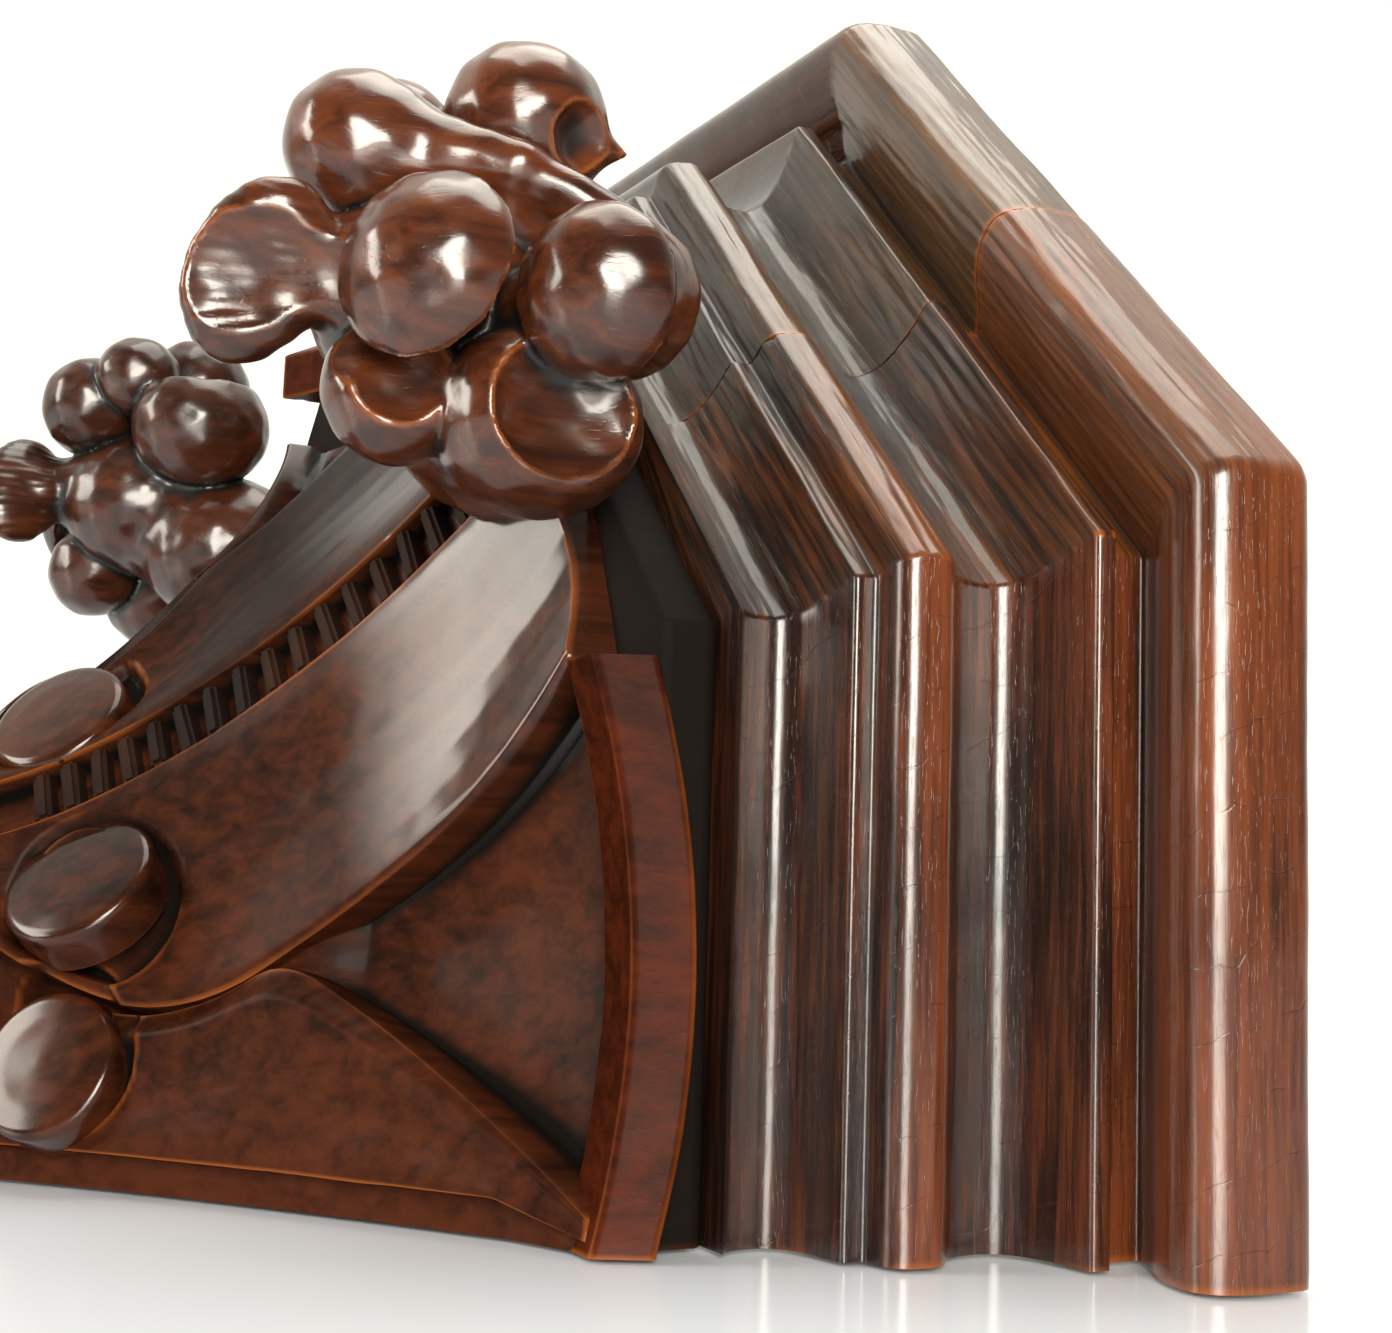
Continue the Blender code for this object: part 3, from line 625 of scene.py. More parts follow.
neck_line = even_steps(np.array(((NECK_INSET + 0.001, CORNICE_HEIGHT + 0.0003),
                                 (NECK_INSET, CORNICE_HEIGHT + 0.0013),
                                 (NECK_INSET, NECK_FOOT - 0.001),
                                 (NECK_INSET + 0.001, NECK_FOOT))), 0.0008)
side_half, _ = stations(neck_line[:, 0], "return", 0.0)
front_all, _ = stations(neck_line[:, 0], "front", 0.0)
left_half = side_half[::-1] * (-1, 1, 1)
ring = np.concatenate([side_half[:-1], front_all[:-1], left_half])
ring[..., 2] = TOP - neck_line[:, 1]
ring = ring.transpose(1, 0, 2)
# the neck under the overhanging cornice gets added darkening all over: painted shade
add_carved(swept("neck", ring), seed=4.0, finish=DULL_FINISH, added_dirt_and_shade=0.5)


# Neck strips: flat leaning strips left standing on the neck over each panel. They bow down at
# both ends and are cut from the same block as the corbel.

SIDE_STRIP_REACH, FRONT_STRIP_REACH = 0.0710, 0.0330
STRIP_DROP = 0.0046
STRIP_HEIGHT = 0.0074
STRIP_SAG = 0.0075
STRIP_FACE, STRIP_ROOT = NECK_INSET - 0.0052, NECK_INSET + 0.0060
STRIP_LEAN, STRIP_ARRIS = 0.0030, 0.0005
STRIP_RINGS = 110


def strip(name, reach, on_side, seed):
    """A strip from the wall forward, or one across the front, that bows down at its ends."""
    section = [(STRIP_FACE + STRIP_ARRIS, 0), (STRIP_FACE, STRIP_ARRIS),
               (STRIP_FACE + STRIP_LEAN, STRIP_HEIGHT - STRIP_ARRIS),
               (STRIP_FACE + STRIP_LEAN + STRIP_ARRIS, STRIP_HEIGHT),
               (STRIP_ROOT, STRIP_HEIGHT), (STRIP_ROOT, 0)]
    inset, drop = even_steps(np.array(section + section[:1], float), 0.0005)[:-1].T
    rows = []
    for share in np.linspace(0, 1, STRIP_RINGS):
        bow = (1.7 * (share - 0.45)) ** 2 if on_side else (2 * share - 1) ** 2
        height = TOP - (CORNICE_HEIGHT + STRIP_DROP + STRIP_SAG * bow + drop)
        if on_side:
            row = (HALF_WIDTH - inset, np.full(len(inset), -(share * reach)), height)
        else:
            row = (np.full(len(inset), (2 * share - 1) * reach), -(DEPTH - inset), height)
        rows.append(np.stack(row, 1))
    rows = np.array(rows)
    if name.startswith("left"):
        rows = rows * (-1, 1, 1)
    add_carved(swept(name, rows), 0.0004, seed, STRIP_FINISH)


strip("right_strip", SIDE_STRIP_REACH, True, 2.0)
strip("left_strip", SIDE_STRIP_REACH, True, 6.0)
strip("front_strip", FRONT_STRIP_REACH, False, 9.0)


# Bell: the carved body of the corbel. Concave fluted ribs on the two diagonals and against the
# wall, with sunk dished panels between, cut with gouges from one block.

BELL_TOP = 0.0716
BELL_HEIGHT = 0.0665
BELL_FOOT = BELL_TOP + BELL_HEIGHT
RIB_HALF_WIDTH = 0.0410
RIB_BOW = 8.0
SIDE_RIB_BOW = 4.0
RIB_STAND = 0.0055
PANEL_DISH = 0.0022
SIDE_RIB_HALF_WIDTH = 0.0330
RIB_CLEARANCE = 0.0042
GROOVE = 0.0046
GROOVE_DEPTH = 0.0032
FLUTE_STEPS, BELL_ROWS = 52, 150
# bevel's share of the width and its drop, then the depth of the flute
RIB_EDGE = ((0.03, 0.0006), 0.003)
SIDE_RIB_EDGE = ((0.15, 0.0026), 0.0009)
DIAGONAL_SHIFT = float(CANT_MIDDLE @ ACROSS)
RIB_TOP_OUT = float(CANT_MIDDLE @ OUTWARD) - NECK_INSET - 0.0010
# share of the way out and of the way down at four control points, then foot and top reach
RIB = (((0, 1), (0.05, 0.635), (0.538, 0.182), (1, 0)), 0.0484, RIB_TOP_OUT)
SIDE_RIB = (((0, 1), (0.19, 0.70), (0.68, 0.25), (1, 0)), 0.0220, HALF_WIDTH - NECK_INSET)
SIDE_FRAME = (np.array((1.0, 0, 0)), np.array((0, -1.0, 0)), 0.0)
DIAGONAL_FRAME = (OUTWARD, ACROSS, DIAGONAL_SHIFT)


def rib_line(rib, t):
    """Out, drop and normal of a rib's middle line; t runs from its foot up."""
    shape, foot, top = rib
    s = 1 - t
    weights = (s ** 3, 3 * s * s * t, 3 * s * t * t, t ** 3)
    slopes = (-3 * s * s, 3 * s * s - 6 * s * t, 6 * s * t - 3 * t * t, 3 * t * t)
    outs = [foot + reach * (top - foot) for reach, _ in shape]
    drops = [BELL_TOP + depth * BELL_HEIGHT for _, depth in shape]
    out = sum(w * value for w, value in zip(weights, outs))
    drop = sum(w * value for w, value in zip(weights, drops))
    run = sum(w * value for w, value in zip(slopes, outs))
    fall = sum(w * value for w, value in zip(slopes, drops))
    size = np.sqrt(run * run + fall * fall)
    return out, drop, -fall / size, run / size


def on_rib(line, axes, bow, across, lift):
    """Points off a rib's middle line: to its side, where its face bows back, and outward."""
    out, drop, normal_out, normal_drop = line
    reach = out - bow * across * across + lift * normal_out
    points = reach[..., None] * axes[0] + (across + axes[2])[..., None] * axes[1]
    points[..., 2] = TOP - drop - lift * normal_drop
    return points


def smooth(low, high, value):
    t = np.clip((value - low) / (high - low), 0, 1)
    return t * t * (3 - 2 * t)


def join(a, b, ease):
    """The smaller of two sizes or distances, with an eased turn from one to the other."""
    h = np.clip(0.5 + 0.5 * (b - a) / ease, 0, 1)
    return b + (a - b) * h - ease * h * (1 - h)


def half_rib(line, axes, bow, width, side, bevel, hollow):
    """Columns of a rib from the bottom of its groove to its edge, on one side."""
    groove = np.minimum(GROOVE, width * 0.35)
    depth = np.minimum(GROOVE_DEPTH, groove * 0.7)
    flute = np.minimum(hollow, (width - groove) * 0.15)
    columns = []
    for share in np.linspace(0, 1, 6):
        columns.append((share * groove, -depth))
    for share in (0.25, 0.5, 0.75, 1.0):
        columns.append((groove + share * depth * 0.2, -depth * (1 - share)))
    shares = (0, 0.05, 0.10, 0.20, 0.32, 0.44, 0.50, 0.58, 0.70, 0.84, 1.0)
    depths = (0, 0.00, 0.05, 0.30, 0.66, 0.93, 0.97, 1.03, 0.92, 0.58, 0.06)
    start = groove + depth * 0.2
    for share in np.linspace(0, 1, FLUTE_STEPS)[1:]:
        curve = float(np.interp(share, shares, depths))
        edge = smooth(1 - bevel[0], 1, share)
        lift = -curve * flute - edge * np.minimum(bevel[1], width * 0.1)
        columns.append((start + share * (width - start), lift))
    points = [on_rib(line, axes, bow, side * across, lift) for across, lift in columns]
    return np.array(points)


def sunk(start, end, shares, normal, room, full, lip):
    """Sunk and dished columns from one rib's edge to another, or to half way."""
    sink, dish = np.minimum(RIB_STAND, room * 0.5), np.minimum(PANEL_DISH, room * 0.1)
    columns = []
    for share in shares:
        near = min(share, 1 - share) if full == pi else share
        wall = smooth(0, lip, near)
        depth = sink * wall + dish * sin(share * full) * wall
        columns.append(start + share * (end - start) - normal * depth[:, None])
    return np.array(columns)


def world_normal(line, axes):
    normal = line[2][..., None] * axes[0]
    normal[..., 2] = -line[3]
    return normal


def spot_on(rib, axes, bow, t, across, lift):
    """A single point on a rib and the rib's normal there."""
    line = rib_line(rib, np.array([t]))
    point = on_rib(line, axes, bow, np.array([across]), np.array([lift]))[0]
    return point, world_normal(line, axes)[0]


def spreading(t):
    """Share of its full width that a rib has: it opens out over its lower half."""
    return 0.30 + 0.70 * np.sin(np.minimum(t / 0.5, 1.0) * pi / 2)


def rib_width(t):
    return RIB_HALF_WIDTH * (spreading(t) - 0.12 * np.maximum(0.0, (t - 0.75) / 0.25) ** 2)


def inner_rib_width(t):
    """The rib's far half, which stops short of the middle plane."""
    width = rib_width(t)
    reach = rib_line(RIB, t)[0] - RIB_BOW * width ** 2 + DIAGONAL_SHIFT - RIB_CLEARANCE
    return np.minimum(width, reach)


def bell_columns(t):
    """Half the bell's surface: from the wall over a side rib, a panel and a diagonal rib."""
    side, diagonal = rib_line(SIDE_RIB, t), rib_line(RIB, t)
    width, inner_width = rib_width(t), inner_rib_width(t)
    near_edge = on_rib(diagonal, DIAGONAL_FRAME, RIB_BOW, width, 0 * t)
    close = 1.0 - 0.88 * np.maximum(0.0, (t - 0.55) / 0.45) ** 1.1
    side_width = join(SIDE_RIB_HALF_WIDTH * spreading(t) * close, -near_edge[:, 1] - 0.0020, 0.006)
    side_normal = world_normal(side, SIDE_FRAME)
    rib_normal = world_normal(diagonal, DIAGONAL_FRAME)
    normal = side_normal + rib_normal
    normal /= np.linalg.norm(normal, axis=1, keepdims=True)

    first = half_rib(side, SIDE_FRAME, SIDE_RIB_BOW, side_width, 1, *SIDE_RIB_EDGE)
    second, third = (half_rib(diagonal, DIAGONAL_FRAME, RIB_BOW, reach, hand, *RIB_EDGE)
                     for reach, hand in ((width, 1), (inner_width, -1)))
    second = second[::-1]
    gap = np.linalg.norm(second[0] - first[-1], axis=1)
    lip = np.linspace(0, 0.05, 7)[1:]
    shares = np.concatenate((lip, np.linspace(0.05, 0.95, 34)[1:-1], 1 - lip[::-1]))
    panel = sunk(first[-1], second[0], shares, normal, gap, pi, 0.05)
    middle = third[-1] * (0, 1, 1)
    front_normal = np.stack((0 * t, -np.linalg.norm(rib_normal[:, :2], axis=1),
                             rib_normal[:, 2]), 1)
    shares = np.concatenate((lip * 2, np.linspace(0.10, 1, 16)[1:]))
    front = sunk(third[-1], middle, shares, front_normal, third[-1][:, 0], pi / 2, 0.10)
    return np.concatenate((first, panel, second, third[1:], front))


# rib, its axes and bow, then each button's place across, hand, radius and lean
EYES = ((RIB, DIAGONAL_FRAME, RIB_BOW, 0.0175, 1, 0.0112, -0.12),
        (RIB, DIAGONAL_FRAME, RIB_BOW, -0.0158, -1, 0.0108, -0.12),
        (SIDE_RIB, SIDE_FRAME, SIDE_RIB_BOW, 0.0160, 1, 0.0106, 0.45))
EYE_PLACE = 0.25
VOLUTE_HOLLOW, VOLUTE_MARGIN, VOLUTE_EASE = 0.0019, 0.0020, 0.0016
VOLUTE_SHIFT = (0.0024, -0.0006)
DULLEST, CARVER_WAVES = 0.97, 0.0006


def carve_volutes(columns, t):
    """Hollow a crescent beside each button, so that the rib's edge curls round it."""
    for rib, axes, bow, across, side, radius, _ in EYES:
        middle, normal = spot_on(rib, axes, bow, EYE_PLACE, across, 0.0)
        over, down = axes[1] * side, np.cross(normal, axes[1])
        down = down * (1 if down[2] < 0 else -1)
        offset = columns - middle
        x, y, lift = offset @ over, offset @ down, offset @ normal
        from_eye = np.sqrt(x * x + y * y)
        hollow = radius + VOLUTE_MARGIN
        from_hollow = np.sqrt((x - VOLUTE_SHIFT[0]) ** 2 + (y - VOLUTE_SHIFT[1]) ** 2)
        inside = smooth(hollow, hollow - VOLUTE_EASE, from_hollow) \
            * smooth(radius - 0.003, radius - 0.001, from_eye)
        if rib is RIB:
            width = rib_width(t) if side > 0 else inner_rib_width(t)
            edge = width - side * (columns @ axes[1] - axes[2])
            inside = inside * smooth(0.0014, 0.0036, edge)
        inside = inside * (np.abs(lift) < 0.006)
        columns -= normal * (VOLUTE_HOLLOW * inside)[..., None]


t_rows = np.linspace(0, 1, BELL_ROWS)
columns = bell_columns(t_rows)
carve_volutes(columns, t_rows)
columns[..., 1] = np.minimum(columns[..., 1], 0.0)
columns = columns.transpose(1, 0, 2)
rise = np.linspace(0, BELL_TOP - NECK_FOOT + 0.001, 8)[1:, None, None] * (0, 0, 1)
columns = np.concatenate((columns, columns[-1:] + rise))
rings = np.concatenate((columns, columns[:, -2::-1] * (-1, 1, 1)), 1)
# only the upper faces of the two diagonal ribs were burnished
off_middle = np.abs(np.abs(rings @ (ACROSS * (1, 0, 0))) + rings @ (ACROSS * (0, 1, 0))
                    - DIAGONAL_SHIFT)
burnished = smooth(-0.051, -0.037, rings[..., 2]) \
    * smooth(RIB_HALF_WIDTH + 0.001, RIB_HALF_WIDTH - 0.003, off_middle)
marks = {"dull": DULLEST * (1 - burnished.reshape(-1))}
add_carved(swept("bell", rings, marks), CARVER_WAVES, 3.0, BELL_FINISH)


# Tail: where the bell dies into the wall. The photograph cuts it off, so it is plain, a hollow
# throat, one astragal and a bud, turned over from the bell's own round.

TAIL_TOP = BELL_FOOT + 0.0060
TAIL_RUN = 0.0360
TAIL_HALF_WIDTH, TAIL_DEPTH = 0.0205, 0.056
TAIL_SIDES = 97
# share of the half width, share of the depth, share of the run down, and extra swell
tail_shape = ((0.66, 0.70, -0.16, 0.0), (0.74, 0.78, -0.08, 0.0), (0.80, 0.84, 0.08, 0.0),
              (0.84, 0.88, 0.18, 0.0), (0.84, 0.88, 0.20, 0.0028), (0.84, 0.88, 0.26, 0.0035),
              (0.84, 0.88, 0.32, 0.0028), (0.82, 0.86, 0.34, 0.0), (0.80, 0.84, 0.45, 0.0),
              (0.72, 0.74, 0.62, 0.0), (0.50, 0.50, 0.86, 0.0), (0.22, 0.20, 1.00, 0.0))
tail_line = np.array([(TAIL_HALF_WIDTH * wide + swell, TAIL_DEPTH * deep + swell, down * TAIL_RUN)
                      for wide, deep, down, swell in tail_shape])
tail_line = rubbed(even_steps(tail_line, 0.0006), 3)
angles = np.linspace(0, pi, TAIL_SIDES)
tail = np.stack([np.stack([width * np.cos(angles), -depth * np.sin(angles),
                           np.full(len(angles), TOP - TAIL_TOP - drop)], 1)
                 for width, depth, drop in tail_line])
tail[..., 1] = np.minimum(tail[..., 1], 0)
add_carved(swept("tail", tail), CARVER_WAVES, 5.0, BELL_FINISH)


# Dentils and volute eyes: small teeth left across the groove of each diagonal rib, and the
# round flat eye at the foot of every flute. Each is set out by rule and cut by eye.

TOOTH_SIZE = (GROOVE * 2 + 0.0012, 0.0032, 0.0034, 0.00060)
TOOTH_NARROWING, TOOTH_SHORTENING = 0.72, 0.94
TEETH = 17
TOOTH_LET_IN = 0.0006
EYE_SIDES = 72
EYE_ROOT = 0.0060
EYE_STAND, SIDE_EYE_STAND = 0.0013, 0.0022


def object_from(bm, name):
    mesh = bpy.data.meshes.new(name)
    bm.to_mesh(mesh)
    bm.free()
    return bpy.data.objects.new(name, mesh)


def small_block(name, length, thickness, height, arris):
    """A tooth that narrows a little toward its top, with worn arrises."""
    bm = bmesh.new()
    bmesh.ops.create_cube(bm, size=1.0, matrix=Matrix.Diagonal((length, thickness, height, 1)))
    bmesh.ops.translate(bm, vec=(0, 0, height / 2), verts=bm.verts)
    for vert in bm.verts:
        if vert.co.z > height / 2:
            vert.co.y *= TOOTH_NARROWING
            vert.co.x *= TOOTH_SHORTENING
    bmesh.ops.bevel(bm, geom=bm.edges[:], offset=arris, segments=2, affect="EDGES")
    return object_from(bm, name)


def volute_eye(name, radius, stand):
    """A round flat button, turned about its own axis, with its root let into the rib."""
    line = np.array([(0.0, stand + 0.0003), (radius * 0.6, stand + 0.0001),
                     (radius * 0.93, stand - 0.0003), (radius * 0.99, stand - 0.0008),
                     (radius, stand - 0.0014), (radius, -EYE_ROOT)])
    line = rubbed(even_steps(line, 0.0005), 1)[1:]
    turn = np.linspace(0, 2 * pi, EYE_SIDES + 1)[:-1]
    rows = np.array([np.stack([r * np.cos(turn), r * np.sin(turn), np.full(len(turn), z)], 1)
                     for r, z in line])
    piece = swept(name, rows)
    bpy.context.scene.collection.objects.unlink(piece)
    return piece


def setting_out():
    """Geometry Nodes: one cut shape at every place, each a little off its rule."""
    tree, given, result = new_group(
        "setting_out", "GeometryNodeTree",
        (("Places", "Geometry", None), ("Shape", "Object", None),
         ("Unevenness", "Float", 0.06), ("Tilt", "Float", 0.04),
         ("Seed", "Int", 1), ("Finish", "Material", None)),
        (("Pieces", "Geometry"),))
    shape = wire(tree, "GeometryNodeObjectInfo", Object=given["Shape"]).outputs["Geometry"]
    turn = wire(tree, "GeometryNodeInputNamedAttribute", {"data_type": "FLOAT_VECTOR"},
                Name="turn").outputs["Attribute"]
    low = less(tree, 0.0, given["Tilt"])
    tilt = wire(tree, "FunctionNodeRandomValue", {"data_type": "FLOAT_VECTOR"},
                Seed=given["Seed"])
    for place, value in ((0, low), (1, given["Tilt"])):
        tree.links.new(value, tilt.inputs[place])
    turn = wire(tree, "ShaderNodeVectorMath", {"operation": "ADD"}, in0=turn,
                in1=tilt.outputs[0]).outputs[0]
    turn = wire(tree, "FunctionNodeEulerToRotation", in0=turn).outputs[0]
    size = wire(tree, "FunctionNodeRandomValue", {"data_type": "FLOAT_VECTOR"},
                Seed=plus(tree, given["Seed"], 7.0))
    for place, operation in ((0, "SUBTRACT"), (1, "ADD")):
        tree.links.new(worked(tree, operation, 1.0, given["Unevenness"]), size.inputs[place])
    placed = wire(tree, "GeometryNodeInstanceOnPoints", Points=given["Places"], Instance=shape,
                  Rotation=turn, Scale=size.outputs[0])
    finish_tree(tree, placed.outputs[0], given["Finish"], result[0])
    return tree


SETTING_OUT = setting_out()


def place_on(rib, axes, bow, t, across, lift, lean=0.0):
    """Middle, normal and sideways direction of a spot on a rib."""
    middle, normal = spot_on(rib, axes, bow, t, across, lift)
    normal = normal + lean * axes[1]
    normal = normal / np.linalg.norm(normal)
    sideways = axes[1] - normal * (axes[1] @ normal)
    return middle, normal, sideways / np.linalg.norm(sideways)


def set_out(name, places, shape, unevenness, tilt, seed, finish, added_dirt_and_shade=0.0):
    """Cut a shape at every place and at its mirror image, as one piece."""
    spots, turns = [], []
    for middle, normal, sideways in places:
        for hand in (1, -1):
            z_axis = Vector(normal * (hand, 1, 1))
            x_axis = Vector(sideways * (hand, 1, 1))
            turns.append(Matrix((x_axis, z_axis.cross(x_axis), z_axis)).transposed().to_euler())
            spots.append(middle * (hand, 1, 1))
    piece = new_piece(name, spots, [])
    layer = piece.data.attributes.new("turn", "FLOAT_VECTOR", "POINT")
    layer.data.foreach_set("vector", np.array([tuple(e) for e in turns], np.float32).ravel())
    work_over(piece, SETTING_OUT, Shape=shape, Unevenness=unevenness, Tilt=tilt, Seed=seed,
              Finish=finish)
    piece.data.shade_smooth()
    piece.data.set_sharp_from_angle(angle=radians(40))
    add_carved(piece, 0.0004, float(seed), finish, added_dirt_and_shade)


tooth = small_block("tooth", *TOOTH_SIZE)
teeth = [place_on(RIB, DIAGONAL_FRAME, RIB_BOW, t, 0.0, -GROOVE_DEPTH - TOOTH_LET_IN)
         for t in np.linspace(0.20, 0.92, TEETH)]
# the dentils get added darkening all over
set_out("dentils", teeth, tooth, unevenness=0.06, tilt=0.05, seed=4, finish=DULL_FINISH,
        added_dirt_and_shade=0.38)
for number, (rib, axes, bow, across, _, radius, lean) in enumerate(EYES):
    eye = volute_eye("eye", radius, SIDE_EYE_STAND if rib is SIDE_RIB else EYE_STAND)
    spot = place_on(rib, axes, bow, EYE_PLACE, across, 0.0, lean)
    set_out(f"volute_eyes_{number + 1}", [spot], eye, unevenness=0.02, tilt=0.02,
            seed=number + 2, finish=BELL_FINISH)


# Foliate bosses: on each canted corner four domed lobes over curled, gouged leaves, carved in
# the round from the same block and joined to the neck by a short stem.

BOSS_OUT = 0.1440
BOSS_UP = -0.0462
BOSS_CELL = 0.55
RIDGE, RIDGES, LUMP = 0.045, 150, 0.20


def unit(direction):
    direction = np.array(direction, float)
    return direction / np.linalg.norm(direction)


def ball(p, centre, radii):
    """Signed distance, in millimetres, to a ball or an egg."""
    q = (p - centre) / radii
    near = np.sqrt((q * q).sum(-1))
    slope = np.sqrt(((q / radii) ** 2).sum(-1))
    return near * (near - 1) / np.maximum(slope, 1e-6)


def rod(p, start, end, start_radius, end_radius):
    """Signed distance to a round rod that tapers from one end to the other."""
    start, end = np.array(start, float), np.array(end, float)
    run = end - start
    t = np.clip(((p - start) @ run) / (run @ run), 0, 1)
    return np.linalg.norm(p - start - t[..., None] * run, axis=-1) \
        - (start_radius + t * (end_radius - start_radius))


def cut(a, b, ease):
    return -join(-a, b, ease)


def common(a, b, ease):
    return -join(-a, -b, ease)


def dome(p, middle, axis, radius, height, lip):
    """A round lobe that bulges along its axis over a thin lip, and is cut flat behind."""
    offset = p - np.array(middle, float)
    up = offset @ unit(axis)
    flat = np.sqrt(np.maximum((offset * offset).sum(-1) - up * up, 0.0))
    cap_radius = (radius * radius + height * height) / (2 * height)
    cap = np.sqrt(flat * flat + (up - height + cap_radius) ** 2) - cap_radius
    return common(common(cap, flat - radius, 0.4), -up - lip, 0.4)


def plate(p, centre, axes, radii):
    """A ball stretched along three axes of its own."""
    return ball((p - np.array(centre, float)) @ np.array(axes, float).T, 0.0, np.array(radii))


# the fan leaf's middle, the way its fibres and trough run, and its long, broad and near axes
FAN_MIDDLE = (0.6, 1.2, -25.6)
FAN_RUN = np.array((0.346, 0.305, 0.887))
FAN_AXES = ((0.83, -0.41, 0.39), (-0.087, 0.59, 0.80), (0.45, 0.83, -0.33))


def boss_form(p):
    """Distance to the boss in millimetres; p holds out, across and up from its middle."""
    form = ball(p, (-2, 0, 0), (14.5, 14.5, 18))
    form = join(form, ball(p, (-15, 0, 13), (15, 15, 17)), 4.0)
    form = join(form, rod(p, (4, 2, -8), (1, 1, -21), 9.5, 5.0), 3.0)

    # scooped leaves under the lobes
    low_leaf = cut(ball(p, (-5, 15.5, -9.5), (9, 9.5, 9)), ball(p, (8.9, 26.6, -14.1), 13.0), 0.4)
    big_leaf = cut(ball(p, (-3, 21.5, 7), (12, 12, 13.4)), ball(p, (12.5, 35.6, 7), 15.5), 0.4)
    far_leaves = cut(ball(p, (-3, -21, 5), (12, 12, 13.4)), ball(p, (12.1, -35.5, 5), 15.5), 0.4)
    leaves = join(join(low_leaf, big_leaf, 0.6), far_leaves, 0.6)
    form = join(form, leaves, 1.2)

    # fan leaf at the tip, dished on its near side
    form = join(form, plate(p, FAN_MIDDLE, FAN_AXES, (12.0, 8.2, 4.6)), 2.5)
    middle = np.array(FAN_MIDDLE) + 15.4 * np.array(FAN_AXES[2])
    form = cut(form, rod(p, middle - 3.5 * FAN_RUN, middle + 14.0 * FAN_RUN, 14.0, 14.0), 0.4)

    # four round lobes, the domed ones cut under to a sharp rim
    first = dome(p, (12.6, 14.5, -10.6), (0.56, 0.30, -0.77), 11.8, 7.2, 0.9)
    first = join(first, rod(p, (2, 6, -4), (9, 11.5, -7), 7.0, 6.0), 0.8)
    spot = (16.4, 22.2, 8.0), (0.30, 0.47, -0.83)
    second = join(dome(p, *spot, 10.8, 7.8, 0.9), dome(p, *spot, 9.7, 6.6, 8.5), 0.3)
    second = join(second, rod(p, (2, 8, 6), (11, 17, 10), 7.0, 6.5), 0.8)
    third = ball(p, (18.5, -15.5, 8.3), (10.8, 10.8, 10.8))
    third = join(third, rod(p, (19, -13, 12), (20.2, -9.5, 20.0), 7.0, 0.4), 1.5)
    third = cut(third, ball(p, (24, -4.0, 14.5), (6.2, 6.2, 6.6)), 0.4)
    fourth = ball(p, (12.7, -12.5, -13), (9.6, 10.2, 9.8))
    fourth = join(fourth, rod(p, (14, -9, -9), (19, -1, 3), 7.0, 4.0), 3.0)
    back = ball(p, (10, -22.5, -6), (8, 8, 8.5))
    for lobe in (first, second, third, fourth, back):
        form = join(form, lobe, 0.7)

    # the thin arch between the lobes and the dark hollow under it
    form = join(form, rod(p, (19, -1, 3), (18.5, 6, 15), 3.8, 2.4), 1.0)
    form = join(form, rod(p, (14, -2, 3), (12, 3, 14), 5.0, 4.0), 2.0)
    form = cut(form, ball(p, (19.5, 9.5, 2), (7.0, 5.6, 8.0)), 0.8)
    return form


def gouged(p):
    """The boss with its fine tool marks: ridges fanned over the leaves, small flats elsewhere."""
    form = boss_form(p)
    on_fan = smooth(-17, -21, p[..., 2]) * smooth(12, 6, np.abs(p[..., 1] - 1))
    from_root = p - np.array((14.0, 16.0, 8.0))
    fan = np.arctan2(from_root @ np.array((0.756, -0.65, -0.071)), -from_root @ FAN_RUN)
    lumps = np.sin(p[..., 0] * 0.83 + 1.3) * np.sin(p[..., 1] * 0.71 + 0.4) \
        * np.sin(p[..., 2] * 0.77 + 2.1)
    return form + RIDGE * np.sin(fan * RIDGES) * on_fan + LUMP * lumps


